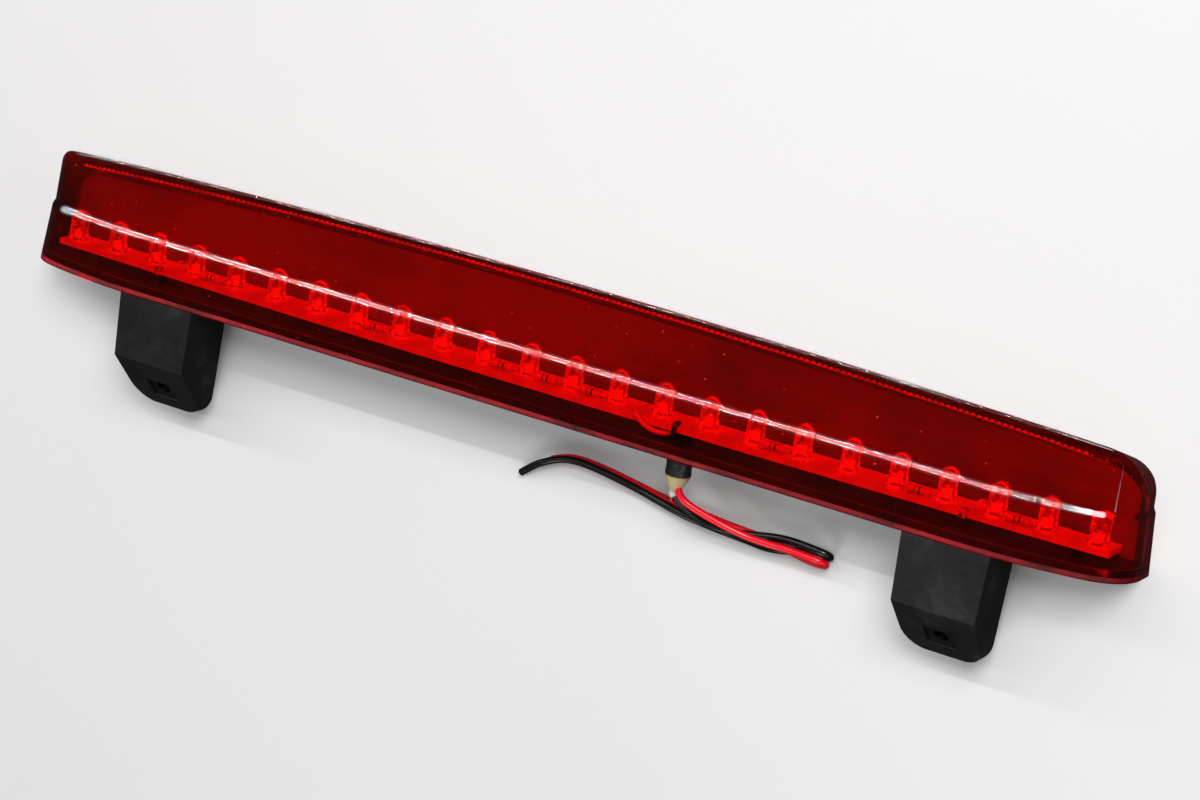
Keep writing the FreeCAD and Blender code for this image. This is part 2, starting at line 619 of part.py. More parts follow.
def make_board():
    body = doc.addObject("PartDesign::Body", "circuit_board")
    plan = body_sketch(body, "board_plan", "XZ_Plane")
    plan.setExpression("AttachmentOffset.Base.z", "-(sizes.rim_y - sizes.board_depth)")
    wide = S["board_half"]
    low = S["row_z"] - S["board_half_width"]
    end_high = low + S["board_end_width"]
    top = S["row_z"] + S["board_half_width"]
    sag = top - end_high
    big = (wide ** 2 + sag ** 2) / (2 * sag)
    half_turn = math.asin(wide / big)
    x = S["row_x"]
    quarter = math.pi / 2
    g = [
        plan.addGeometry(segment(x - wide, low, x + wide, low), False),
        plan.addGeometry(segment(x + wide, low, x + wide, end_high), False),
        plan.addGeometry(arc(x, top - big, big, quarter - half_turn, quarter + half_turn), False),
        plan.addGeometry(segment(x - wide, end_high, x - wide, low), False),
    ]
    add_constraint(plan, "Coincident", g[0], 2, g[1], 1)
    add_constraint(plan, "Coincident", g[1], 2, g[2], 1)
    add_constraint(plan, "Coincident", g[2], 2, g[3], 1)
    add_constraint(plan, "Coincident", g[3], 2, g[0], 1)
    low_text = "sizes.row_z - sizes.board_half_width"
    place_point(plan, g[0], 1, "sizes.row_x - sizes.board_half", low_text)
    place_point(plan, g[0], 2, "sizes.row_x + sizes.board_half", low_text)
    place_point(plan, g[1], 2, "sizes.row_x + sizes.board_half", "%s + sizes.board_end_width" % low_text)
    place_point(plan, g[3], 1, "sizes.row_x - sizes.board_half", "%s + sizes.board_end_width" % low_text)
    sag_text = "(2 * sizes.board_half_width - sizes.board_end_width)"
    add_constraint(plan, "Radius", g[2], big,
                   expression="(sizes.board_half^2 + %s^2) / (2 * %s)" % (sag_text, sag_text))
    pad(body, "board", plan, "sizes.board_thick")
    doc.recompute()

    holes = body_sketch(body, "led_hole_plan", "XZ_Plane")
    first = "sizes.row_x - (sizes.led_count - 1) / 2 * sizes.led_pitch"
    for side in ("-", "+"):
        circle_at(holes, "%s %s sizes.led_pin_gap" % (first, side), "sizes.row_z", "%s" % PIN_HOLE)
    drill = pocket(body, "led_holes", holes, "4 * sizes.board_depth", symmetric=True)
    checked_cut(body, drill)
    row = body.newObject("PartDesign::LinearPattern", "led_hole_row")
    row.Originals = [drill]
    row.Direction = (holes, ["H_Axis"])
    row.Occurrences = int(S["led_count"])
    row.setExpression("Length", "(sizes.led_count - 1) * sizes.led_pitch")
    row.setExpression("Occurrences", "sizes.led_count")
    body.Tip = row
    doc.recompute()

    more = body_sketch(body, "resistor_hole_plan", "XZ_Plane")
    for slot in RESISTOR_SLOTS:
        for side in ("-", "+"):
            circle_at(more, "%s %s %s" % (slot_text(slot), side, RESISTOR_SPAN),
                      "sizes.row_z + %s" % RESISTOR_Z,
                      "%s" % PIN_HOLE)
    checked_cut(body, pocket(body, "resistor_holes", more, "4 * sizes.board_depth", symmetric=True))
    return node(body, "circuit_board")


def slot_text(slot):
    """X of the gap after LED number slot, as an expression."""
    return "sizes.row_x + (%s - sizes.led_count / 2) * sizes.led_pitch" % slot


def make_led(number_in_row):
    body = doc.addObject("PartDesign::Body", "led_%02d" % number_in_row)
    x_text = "sizes.row_x + (%d - (sizes.led_count + 1) / 2) * sizes.led_pitch" % number_in_row
    body.setExpression("Placement.Base.x", x_text)
    body.setExpression("Placement.Base.y",
                       "sizes.rim_y - sizes.board_depth - sizes.board_thick - sizes.led_standoff")
    body.setExpression("Placement.Base.z", "sizes.row_z")
    profile = body_sketch(body, "led_profile", "XY_Plane")
    tall = S["led_height"]
    r = S["led_radius"]
    flange = S["led_flange"]
    thick = S["led_flange_thick"]
    g = [
        profile.addGeometry(segment(0, -tall, 0, 0), False),
        profile.addGeometry(segment(0, 0, flange, 0), False),
        profile.addGeometry(segment(flange, 0, flange, -thick), False),
        profile.addGeometry(segment(flange, -thick, r, -thick), False),
        profile.addGeometry(segment(r, -thick, r, r - tall), False),
        profile.addGeometry(arc(0, r - tall, r, -math.pi / 2, 0), False),
    ]
    add_constraint(profile, "Coincident", g[0], 2, g[1], 1)
    add_constraint(profile, "Coincident", g[1], 2, g[2], 1)
    add_constraint(profile, "Coincident", g[2], 2, g[3], 1)
    add_constraint(profile, "Coincident", g[3], 2, g[4], 1)
    add_constraint(profile, "Tangent", g[4], 2, g[5], 2)
    add_constraint(profile, "Coincident", g[5], 1, g[0], 1)
    add_constraint(profile, "Coincident", g[0], 2, -1, 1)
    add_constraint(profile, "PointOnObject", g[0], 1, -2)
    add_constraint(profile, "PointOnObject", g[5], 3, -2)
    add_constraint(profile, "Horizontal", g[1])
    add_constraint(profile, "Vertical", g[2])
    add_constraint(profile, "Horizontal", g[3])
    add_constraint(profile, "Radius", g[5], r, expression="sizes.led_radius")
    add_constraint(profile, "DistanceX", -1, 1, g[1], 2, flange, expression="sizes.led_flange")
    add_constraint(profile, "DistanceY", g[2], 2, g[2], 1, thick, expression="sizes.led_flange_thick")
    add_constraint(profile, "DistanceY", g[0], 1, g[0], 2, tall, expression="sizes.led_height")
    dome = body.newObject("PartDesign::Revolution", "led_body")
    dome.Profile = profile
    dome.ReferenceAxis = (profile, ["V_Axis"])
    dome.Angle = 360
    pins = body_sketch(body, "led_pin_plan", "XZ_Plane")
    for side in ("-", "+"):
        left = "%ssizes.led_pin_gap - sizes.led_pin / 2" % ("-" if side == "-" else "")
        right = "%ssizes.led_pin_gap + sizes.led_pin / 2" % ("-" if side == "-" else "")
        rectangle(pins, left, right, "-sizes.led_pin / 2", "sizes.led_pin / 2")
    pad(body, "led_pins", pins, "sizes.led_pin_long", reverse=True)
    return node(body, body.Name)


def make_resistor(index, slot):
    """Axial resistor along X, with its leads bent down through the board."""
    body = doc.addObject("PartDesign::Body", "resistor_%02d" % index)
    body.setExpression("Placement.Base.x", slot_text(slot))
    body.setExpression("Placement.Base.y",
                       "sizes.rim_y - sizes.board_depth - sizes.board_thick - %s" % RESISTOR_LIFT)
    body.setExpression("Placement.Base.z", "sizes.row_z + %s" % RESISTOR_Z)
    profile = body_sketch(body, "resistor_profile", "XY_Plane")
    half = [
        (RESISTOR_END, 0), (RESISTOR_END, RESISTOR_LEAD), (RESISTOR_HALF, RESISTOR_LEAD),
        (RESISTOR_HALF, RESISTOR_CAP), (RESISTOR_HALF - 0.2, RESISTOR_BULGE),
        (RESISTOR_HALF - BULGE_LONG, RESISTOR_BULGE), (RESISTOR_HALF - BULGE_LONG - 0.5, RESISTOR_WAIST),
    ]
    outline = half + [(-x, y) for x, y in reversed(half)]
    polygon(profile, [(repr(float(x)), repr(float(y))) for x, y in outline])
    turn = body.newObject("PartDesign::Revolution", "resistor_body")
    turn.Profile = profile
    turn.ReferenceAxis = (profile, ["H_Axis"])
    turn.Angle = 360
    pins = body_sketch(body, "resistor_pin_plan", "XZ_Plane")
    for side in ("-", ""):
        circle_at(pins, "%s%s" % (side, RESISTOR_SPAN), "0", "%s" % RESISTOR_PIN)
    depth = "sizes.board_depth + sizes.board_thick + %s - %s" % (RESISTOR_LIFT, RESISTOR_TAIL)
    pad(body, "resistor_pins", pins, depth, reverse=True)
    return node(body, body.Name)


# ---------------------------------------------------------------- leads

def rounded_path(points):
    """Straight runs joined by tangent arcs; each arc takes 0.45 of its shorter run on both sides."""
    edges = []
    radii = []
    start = points[0]
    for before, corner, after in zip(points, points[1:], points[2:]):
        back = before - corner
        ahead = after - corner
        take = 0.45 * min(back.Length, ahead.Length)
        back_unit = Vector(back).normalize()
        ahead_unit = Vector(ahead).normalize()
        turn = math.pi - back_unit.getAngle(ahead_unit)
        radius = take / math.tan(turn / 2)
        first = corner + back_unit * take
        last = corner + ahead_unit * take
        inward = (back_unit + ahead_unit).normalize()
        reach = radius / math.cos(turn / 2) - radius
        edges.append(Part.LineSegment(start, first).toShape())
        edges.append(Part.Arc(first, corner + inward * reach, last).toShape())
        radii.append(radius)
        start = last
    edges.append(Part.LineSegment(start, points[-1]).toShape())
    return Part.Wire(edges), radii


def make_tube(name, route, radius):
    points = [Vector(*p) for p in route]
    path, radii = rounded_path(points)
    first = points[1] - points[0]
    ring = Part.Wire([Part.Circle(points[0], first, radius).toShape()])
    solid = path.makePipeShell([ring], True, True)
    expected = math.pi * radius ** 2 * path.Length
    print("%s: length %.1f, radii %.1f to %.1f, volume ratio %.4f"
          % (name, path.Length, min(radii), max(radii), solid.Volume / expected))
    tube = doc.addObject("Part::Feature", name)
    tube.Shape = solid
    return node(tube, name)


# centre lines of the two free leads, from the sealant cone to the cut ends
RED_ROUTE = [
    (-43.15, 11.9, 13.4), (-43.2, 13.3, 13.35), (-44.7, 15.3, 12.8), (-47.7, 16.9, 11.8), (-52.0, 18.7, 9.9),
    (-56.8, 20.5, 7.9), (-62.0, 21.8, 6.3), (-67.8, 22.2, 5.4), (-73.4, 22.1, 5.1), (-77.8, 22.3, 5.25),
    (-81.6, 22.4, 5.5), (-83.06, 23.04, 4.18), (-83.06, 23.95, 2.32), (-81.6, 24.6, 1.0), (-78.6, 24.7, 1.0),
    (-74.2, 24.1, 1.0), (-68.2, 22.9, 1.0), (-60.4, 22.1, 1.0), (-52.6, 21.8, 1.0), (-46.0, 21.15, 1.0),
    (-40.0, 20.8, 1.0), (-34.0, 20.2, 1.0), (-27.0, 19.0, 1.0), (-19.0, 17.75, 1.0), (-12.0, 16.9, 1.0),
    (-6.4, 16.7, 1.0), (-2.4, 17.5, 1.0), (0.8, 18.9, 1.0),
]
BLACK_ROUTE = [
    (-41.25, 11.9, 12.6), (-41.4, 13.4, 12.4), (-42.5, 15.8, 11.6), (-44.6, 18.6, 9.6), (-47.8, 21.1, 7.2),
    (-52.2, 22.4, 5.0), (-57.0, 22.3, 3.9), (-62.4, 21.6, 3.2), (-67.8, 20.6, 2.9), (-73.2, 20.0, 3.5),
    (-79.2, 20.0, 4.6), (-82.6, 20.2, 4.8), (-83.88, 20.8, 3.69), (-83.88, 21.65, 2.11), (-82.6, 22.25, 1.0),
    (-79.8, 22.2, 1.05), (-76.0, 22.1, 2.1), (-71.4, 23.2, 3.4), (-66.2, 24.2, 2.8), (-60.4, 24.3, 1.2),
    (-53.0, 24.0, 1.0), (-46.0, 23.3, 1.6), (-40.0, 22.3, 2.6), (-34.0, 20.8, 3.05), (-27.0, 19.2, 3.05),
    (-19.0, 17.9, 3.05), (-12.0, 16.95, 3.05), (-6.4, 16.8, 3.05), (-2.2, 17.7, 3.05), (1.8, 19.5, 3.15),
    (5.6, 21.8, 2.2), (9.4, 25.0, 1.1),
]


def make_leads():
    make_tube("red_lead", RED_ROUTE, S["lead_radius"])
    make_tube("black_lead", BLACK_ROUTE, S["lead_radius"])
    under = S["rim_y"] - S["board_depth"] + S["pigtail_radius"] + PIGTAIL_BELOW
    over = S["rim_y"] - S["board_depth"] - S["board_thick"] - S["pigtail_radius"] - PIGTAIL_ABOVE
    board_edge = S["row_z"] + S["board_half_width"]
    outside = board_edge + S["pigtail_radius"] + PIGTAIL_FRONT
    start_y = S["rim_y"] - S["ledge_depth"]
    start_z = S["row_z"] + PIGTAIL_START
    # the black one goes straight over the board edge, and the red one runs along it first
    x = S["boot_x"] - PIGTAIL_APART
    make_tube("black_pigtail", [
        (x, start_y, start_z), (x, under, start_z + 0.4), (x, under, outside), (x, over, outside),
        (x, over, board_edge - 1.0)], S["pigtail_radius"])
    x = S["boot_x"] + PIGTAIL_APART
    make_tube("red_pigtail", [
        (x, start_y, start_z), (x + 0.1, under, start_z + 0.6), (x + 0.4, under, start_z + 3.4),
        (x + 2.2, under, outside), (x + 6.8, under - 0.7, outside), (x + 10.2, over, outside),
        (x + 10.4, over, board_edge - 1.4)], S["pigtail_radius"])


def make_boot():
    """Black boot that carries the leads through the plate, and the cone of sealant that closes it."""
    into_y = Rotation(Vector(1, 0, 0), -90)
    sleeve = doc.addObject("Part::Cylinder", "boot_sleeve")
    bind(sleeve, Radius="sizes.boot_radius", Height="sizes.boot_long + sizes.plate_depth")
    sleeve.Placement = Placement(Vector(S["boot_x"], S["rim_y"] - S["plate_depth"], S["row_z"]), into_y)
    sleeve.setExpression("Placement.Base.y", "sizes.rim_y - sizes.plate_depth")
    neck = doc.addObject("Part::Cylinder", "boot_neck")
    bind(neck, Radius="sizes.boot_neck", Height="sizes.ledge_depth")
    neck.Placement = Placement(Vector(S["boot_x"], S["rim_y"] - S["ledge_depth"], S["row_z"]), into_y)
    neck.setExpression("Placement.Base.y", "sizes.rim_y - sizes.ledge_depth")
    boot = doc.addObject("Part::Fuse", "lead_boot")
    boot.Base, boot.Tool = sleeve, neck
    node(boot, "lead_boot")
    cone = doc.addObject("Part::Cone", "boot_sealant")
    bind(cone, Radius1="sizes.boot_radius", Radius2="sizes.seal_tip", Height="sizes.seal_long")
    cone.Placement = Placement(Vector(S["boot_x"], S["rim_y"] + S["boot_long"], S["row_z"]), into_y)
    cone.setExpression("Placement.Base.y", "sizes.rim_y + sizes.boot_long")
    node(cone, "boot_sealant")


# ---------------------------------------------------------------- build and write

make_lens()
make_bead()
make_housing()
make_nuts()
make_board()
for led_number in range(1, int(S["led_count"]) + 1):
    make_led(led_number)
for resistor_number, gap in enumerate(RESISTOR_SLOTS, start=1):
    make_resistor(resistor_number, gap)
make_boot()
make_leads()
doc.recompute()

for obj in doc.Objects:
    if "Invalid" in obj.State or "Error" in obj.State:
        raise RuntimeError("%s failed: %s" % (obj.Name, obj.State))
for obj in NODES:
    if obj.Shape.isNull() or not obj.Shape.isValid():
        raise RuntimeError("%s has no valid shape" % obj.Label)

os.makedirs("parts", exist_ok=True)
for obj in NODES:
    obj.Shape.exportStep("parts/%s.step" % obj.Label)
print("%d nodes written" % len(NODES))
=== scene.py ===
"""Third brake light on a pale studio floor.

Metres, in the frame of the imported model: +Z up, light leaving toward -Y. Sizes in the shape sections are
millimetres, turned into metres by MM.
"""
import json
import math

import bmesh
import bpy
import numpy as np
from mathutils import Matrix, Vector

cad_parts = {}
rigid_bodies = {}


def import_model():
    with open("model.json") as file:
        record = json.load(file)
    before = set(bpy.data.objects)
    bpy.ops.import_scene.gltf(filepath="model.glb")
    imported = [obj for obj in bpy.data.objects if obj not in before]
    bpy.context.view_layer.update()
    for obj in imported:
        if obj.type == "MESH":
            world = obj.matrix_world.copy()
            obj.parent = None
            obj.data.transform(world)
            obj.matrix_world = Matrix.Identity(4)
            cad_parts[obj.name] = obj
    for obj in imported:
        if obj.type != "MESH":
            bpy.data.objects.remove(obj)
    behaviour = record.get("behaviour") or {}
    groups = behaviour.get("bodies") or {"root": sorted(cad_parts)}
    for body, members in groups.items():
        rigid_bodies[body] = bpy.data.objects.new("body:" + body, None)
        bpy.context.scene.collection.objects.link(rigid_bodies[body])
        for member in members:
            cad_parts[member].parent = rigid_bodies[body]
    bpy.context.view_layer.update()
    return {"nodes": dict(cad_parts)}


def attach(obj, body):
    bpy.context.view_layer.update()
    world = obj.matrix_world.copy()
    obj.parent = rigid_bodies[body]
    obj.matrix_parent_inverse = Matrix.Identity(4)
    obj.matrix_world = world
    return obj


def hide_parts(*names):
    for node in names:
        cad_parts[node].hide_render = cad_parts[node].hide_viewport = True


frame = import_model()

MM = 0.001
NODES = frame["nodes"]


# ---------------------------------------------------------------- camera and cords

CAMERA_AT = (-0.41471, -0.23502, 0.80002)
CAMERA_RIGHT = (-0.86145, -0.15856, -0.48246)
CAMERA_DOWN = (-0.25902, 0.95433, 0.14885)
CAMERA_FORWARD = (0.43683, 0.25319, -0.86318)


def make_camera():
    data = bpy.data.cameras.new("camera")
    data.lens = 105
    data.sensor_width = 36
    data.clip_start = 0.01
    camera = bpy.data.objects.new("camera", data)
    right, up, back = Vector(CAMERA_RIGHT), -Vector(CAMERA_DOWN), -Vector(CAMERA_FORWARD)
    turn = Matrix((right, up, back)).transposed()
    camera.matrix_world = Matrix.Translation(CAMERA_AT) @ turn.to_4x4()
    bpy.context.scene.collection.objects.link(camera)
    bpy.context.scene.camera = camera


LEAD_RADIUS = 1.0 * MM
# the routes of part.py, in millimetres
RED_ROUTE = [
    (-43.15, 11.9, 13.4), (-43.2, 13.3, 13.35), (-44.7, 15.3, 12.8), (-47.7, 16.9, 11.8), (-52.0, 18.7, 9.9),
    (-56.8, 20.5, 7.9), (-62.0, 21.8, 6.3), (-67.8, 22.2, 5.4), (-73.4, 22.1, 5.1), (-77.8, 22.3, 5.25),
    (-81.6, 22.4, 5.5), (-83.06, 23.04, 4.18), (-83.06, 23.95, 2.32), (-81.6, 24.6, 1.0), (-78.6, 24.7, 1.0),
    (-74.2, 24.1, 1.0), (-68.2, 22.9, 1.0), (-60.4, 22.1, 1.0), (-52.6, 21.8, 1.0), (-46.0, 21.15, 1.0),
    (-40.0, 20.8, 1.0), (-34.0, 20.2, 1.0), (-27.0, 19.0, 1.0), (-19.0, 17.75, 1.0), (-12.0, 16.9, 1.0),
    (-6.4, 16.7, 1.0), (-2.4, 17.5, 1.0), (0.8, 18.9, 1.0),
]
BLACK_ROUTE = [
    (-41.25, 11.9, 12.6), (-41.4, 13.4, 12.4), (-42.5, 15.8, 11.6), (-44.6, 18.6, 9.6), (-47.8, 21.1, 7.2),
    (-52.2, 22.4, 5.0), (-57.0, 22.3, 3.9), (-62.4, 21.6, 3.2), (-67.8, 20.6, 2.9), (-73.2, 20.0, 3.5),
    (-79.2, 20.0, 4.6), (-82.6, 20.2, 4.8), (-83.88, 20.8, 3.69), (-83.88, 21.65, 2.11), (-82.6, 22.25, 1.0),
    (-79.8, 22.2, 1.05), (-76.0, 22.1, 2.1), (-71.4, 23.2, 3.4), (-66.2, 24.2, 2.8), (-60.4, 24.3, 1.2),
    (-53.0, 24.0, 1.0), (-46.0, 23.3, 1.6), (-40.0, 22.3, 2.6), (-34.0, 20.8, 3.05), (-27.0, 19.2, 3.05),
    (-19.0, 17.9, 3.05), (-12.0, 16.95, 3.05), (-6.4, 16.8, 3.05), (-2.2, 17.7, 3.05), (1.8, 19.5, 3.15),
    (5.6, 21.8, 2.2), (9.4, 25.0, 1.1),
]


def make_lead(node, route, material):
    data = bpy.data.curves.new(node + "_insulation", "CURVE")
    data.dimensions = "3D"
    data.bevel_depth = LEAD_RADIUS
    data.bevel_resolution = 8
    data.resolution_u = 10
    data.use_fill_caps = True
    spline = data.splines.new("NURBS")
    spline.points.add(len(route) - 1)
    for point, place in zip(spline.points, route):
        point.co = (*(Vector(place) * MM), 1)
    spline.order_u = 3
    spline.use_endpoint_u = True
    piece = bpy.data.objects.new(node + "_insulation", data)
    bpy.context.scene.collection.objects.link(piece)
    data.materials.append(material)
    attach(piece, "root")
    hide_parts(node)


# ---------------------------------------------------------------- material helpers

class Nodes:
    """Short hand for building one node material."""

    def __init__(self, name):
        self.material = bpy.data.materials.new(name)
        self.material.use_nodes = True
        self.tree = self.material.node_tree
        self.tree.nodes.clear()
        self.output = self.add("ShaderNodeOutputMaterial")

    def add(self, kind, **values):
        node = self.tree.nodes.new(kind)
        for key, value in values.items():
            if hasattr(node, key):
                setattr(node, key, value)
            else:
                node.inputs[key.replace("_", " ")].default_value = value
        return node

    def link(self, source, target):
        self.tree.links.new(source, target)

    def shader(self, color=None, roughness=0.5, metallic=0.0, **more):
        node = self.add("ShaderNodeBsdfPrincipled")
        if color is not None:
            node.inputs["Base Color"].default_value = (*color, 1)
        node.inputs["Roughness"].default_value = roughness
        node.inputs["Metallic"].default_value = metallic
        for key, value in more.items():
            node.inputs[key.replace("_", " ")].default_value = value
        return node

    def place(self):
        return self.add("ShaderNodeTexCoord").outputs["Object"]

    def noise(self, scale, detail=4.0, roughness=0.6, source=None):
        node = self.add("ShaderNodeTexNoise")
        node.inputs["Scale"].default_value = scale
        node.inputs["Detail"].default_value = detail
        node.inputs["Roughness"].default_value = roughness
        self.link(source or self.place(), node.inputs["Vector"])
        return node.outputs["Fac"]

    def ramp(self, value, stops, mode="LINEAR"):
        node = self.add("ShaderNodeValToRGB")
        node.color_ramp.interpolation = mode
        elements = node.color_ramp.elements
        while len(elements) < len(stops):
            elements.new(0.5)
        for element, (at, color) in zip(elements, stops):
            element.position = at
            element.color = (*color, 1) if len(color) == 3 else color
        self.link(value, node.inputs["Fac"])
        return node.outputs["Color"]

    def span(self, value, low, high, source_low=0.0, source_high=1.0):
        node = self.add("ShaderNodeMapRange")
        node.inputs["From Min"].default_value = source_low
        node.inputs["From Max"].default_value = source_high
        node.inputs["To Min"].default_value = low
        node.inputs["To Max"].default_value = high
        self.link(value, node.inputs["Value"])
        return node.outputs["Result"]

    def bump(self, height, distance, strength=1.0):
        node = self.add("ShaderNodeBump")
        node.inputs["Strength"].default_value = strength
        node.inputs["Distance"].default_value = distance
        self.link(height, node.inputs["Height"])
        return node.outputs["Normal"]

    def finish(self, shader):
        self.link(shader, self.output.inputs["Surface"])
        return self.material


def red_plastic(name, tint, roughness=0.012):
    """Clear coloured plastic with a few scuffs and specks of dust."""
    n = Nodes(name)
    glass = n.shader(color=tint, roughness=roughness, Transmission_Weight=1.0, IOR=1.49)
    scuffs = n.ramp(n.noise(260, 6, 0.7), [(0.60, (0, 0, 0)), (0.74, (1, 1, 1))])
    cells = n.add("ShaderNodeTexVoronoi")
    cells.inputs["Scale"].default_value = 500
    n.link(n.place(), cells.inputs["Vector"])
    pick = n.add("ShaderNodeSeparateColor")
    n.link(cells.outputs["Color"], pick.inputs[0])
    size = n.span(pick.outputs[0], -0.20, 0.09)
    speck = n.add("ShaderNodeMath", operation="LESS_THAN")
    n.link(cells.outputs["Distance"], speck.inputs[0])
    n.link(size, speck.inputs[1])
    dull = n.add("ShaderNodeMath", operation="MAXIMUM")
    n.link(n.span(scuffs, roughness, roughness + 0.03), dull.inputs[0])
    n.link(n.span(speck.outputs[0], 0.0, 0.55), dull.inputs[1])
    n.link(dull.outputs[0], glass.inputs["Roughness"])
    return n.finish(glass.outputs[0])


def frosted_edge(name, low, high):
    """Moulded edges that catch the light that runs along the wall."""
    n = Nodes(name)
    shader = n.shader(roughness=0.4, Transmission_Weight=0.35, IOR=1.49, Specular_IOR_Level=0.15)
    stretch = n.add("ShaderNodeMapping")
    stretch.inputs["Scale"].default_value = (0.25, 1.0, 1.0)
    n.link(n.place(), stretch.inputs["Vector"])
    n.link(n.ramp(n.noise(420, 5, 0.7, stretch.outputs["Vector"]), [(0.35, (low, 0.0, 0.001)),
                                                                    (0.65, (high, 0.0, 0.002))]),
           shader.inputs["Base Color"])
    return n.finish(shader.outputs[0])


def back_wall_painted_shade():
    """The wall that faces the floor: the same red hue, painted dark as shade for the shadow that lies under
    the lamp.
    """
    n = Nodes("lens_back_painted_shade")
    shader = n.shader(color=(0.20, 0.0, 0.001), roughness=0.25, IOR=1.49)
    stretch = n.add("ShaderNodeMapping")
    stretch.inputs["Scale"].default_value = (0.12, 1.0, 1.0)
    n.link(n.place(), stretch.inputs["Vector"])
    streaks = n.noise(160, 5, 0.65, stretch.outputs["Vector"])
    patches = n.noise(14, 3, 0.6)
    both = n.add("ShaderNodeMath", operation="MULTIPLY")
    n.link(n.span(streaks, 0.75, 1.25, 0.3, 0.7), both.inputs[0])
    n.link(n.span(patches, 0.45, 1.1, 0.35, 0.65), both.inputs[1])
    # painted shade: dark reds, lighter and darker in streaks and patches
    n.link(n.ramp(both.outputs[0], [(0.2, (0.045, 0.0, 0.001)), (1.0, (0.16, 0.0, 0.002))]),
           shader.inputs["Base Color"])
    return n.finish(shader.outputs[0])


def underside_painted_shade():
    """The outer face that lies on the floor, which the thick edges show as near black: painted shade for the
    shadow under the lamp.
    """
    n = Nodes("lens_underside_painted_shade")
    shader = n.shader(roughness=0.4, IOR=1.49)
    # near black painted shade
    n.link(n.ramp(n.noise(90, 4), [(0.35, (0.010, 0.0, 0.001)), (0.65, (0.022, 0.0, 0.002))]),
           shader.inputs["Base Color"])
    return n.finish(shader.outputs[0])


def grained_plastic(name, color, roughness, grain=1800, depth=0.00004):
    n = Nodes(name)
    shader = n.shader(roughness=roughness)
    spread = n.noise(60, 4)
    low = tuple(c * 0.6 for c in color)
    high = tuple(c * 1.9 for c in color)
    n.link(n.ramp(spread, [(0.3, low), (0.7, high)]), shader.inputs["Base Color"])
    n.link(n.span(n.noise(400, 3), roughness - 0.08, roughness + 0.08), shader.inputs["Roughness"])
    n.link(n.bump(n.noise(grain, 3, 0.5), depth, 0.6), shader.inputs["Normal"])
    return n.finish(shader.outputs[0])


HOOK_TIP_Y = -3.8 * MM      # the housing reaches past this toward -Y only with the tips of its board hooks


def housing_plastic():
    """Black moulding with dusty scuffs; the tips of the board hooks carry pale spots of painted glint."""
    n = Nodes("housing_black")
    shader = n.shader(roughness=0.45, Specular_IOR_Level=0.35)
    scuffs = n.ramp(n.noise(75, 6, 0.7), [(0.35, (0.004, 0.004, 0.0045)), (0.55, (0.008, 0.008, 0.009)),
                                          (0.66, (0.017, 0.017, 0.018))])
    split = n.add("ShaderNodeSeparateXYZ")
    n.link(n.place(), split.inputs[0])
    # painted glints: pale spots on the hook tips past HOOK_TIP_Y
    hook_tip_glint_mask = n.add("ShaderNodeMath", operation="LESS_THAN")
    n.link(split.outputs["Y"], hook_tip_glint_mask.inputs[0])
    hook_tip_glint_mask.inputs[1].default_value = HOOK_TIP_Y
    painted_hook_glints = n.ramp(n.noise(1300, 3), [(0.40, (0.03, 0.03, 0.03)), (0.58, (0.85, 0.80, 0.78))])
    mix = n.add("ShaderNodeMix", data_type="RGBA")
    n.link(hook_tip_glint_mask.outputs[0], mix.inputs[0])
    n.link(scuffs, mix.inputs[6])
    n.link(painted_hook_glints, mix.inputs[7])
    n.link(mix.outputs[2], shader.inputs["Base Color"])
    n.link(n.span(n.noise(400, 3), 0.36, 0.55), shader.inputs["Roughness"])
    n.link(n.bump(n.noise(1800, 3, 0.5), 0.00004, 0.6), shader.inputs["Normal"])
    return n.finish(shader.outputs[0])


def glossy_insulation(name, color):
    n = Nodes(name)
    shader = n.shader(roughness=0.28, IOR=1.45, Coat_Weight=0.1, Coat_Roughness=0.08)
    low = tuple(c * 0.85 for c in color)
    n.link(n.ramp(n.noise(90, 4), [(0.35, low), (0.65, color)]), shader.inputs["Base Color"])
    n.link(n.span(n.noise(500, 3), 0.22, 0.38), shader.inputs["Roughness"])
    n.link(n.bump(n.noise(700, 2), 0.00003, 0.4), shader.inputs["Normal"])
    return n.finish(shader.outputs[0])


def metal(name, color, roughness):
    n = Nodes(name)
    shader = n.shader(roughness=roughness, metallic=1.0)
    low = tuple(c * 0.7 for c in color)
    n.link(n.ramp(n.noise(300, 4), [(0.3, low), (0.7, color)]), shader.inputs["Base Color"])
    n.link(n.bump(n.noise(1500, 3), 0.00002, 0.5), shader.inputs["Normal"])
    return n.finish(shader.outputs[0])


def led_epoxy():
    n = Nodes("led_epoxy")
    glass = n.shader(color=(0.98, 0.62, 0.60), roughness=0.06, Transmission_Weight=0.92, IOR=1.54)
    n.link(n.span(n.noise(300, 3), 0.04, 0.12), glass.inputs["Roughness"])
    return n.finish(glass.outputs[0])


def board_mask():
    """White solder mask with the copper tracks showing faintly below it."""
    n = Nodes("board_mask")
    shader = n.shader(roughness=0.35, IOR=1.5)
    wave = n.add("ShaderNodeTexWave")
    wave.bands_direction = "X"
    wave.inputs["Scale"].default_value = 36
    wave.inputs["Distortion"].default_value = 3.0
    n.link(n.place(), wave.inputs["Vector"])
    n.link(n.ramp(wave.outputs["Fac"], [(0.45, (0.80, 0.78, 0.74)), (0.55, (0.70, 0.68, 0.62))]),
           shader.inputs["Base Color"])
    n.link(n.bump(n.noise(900, 3), 0.00003, 0.4), shader.inputs["Normal"])
    return n.finish(shader.outputs[0])


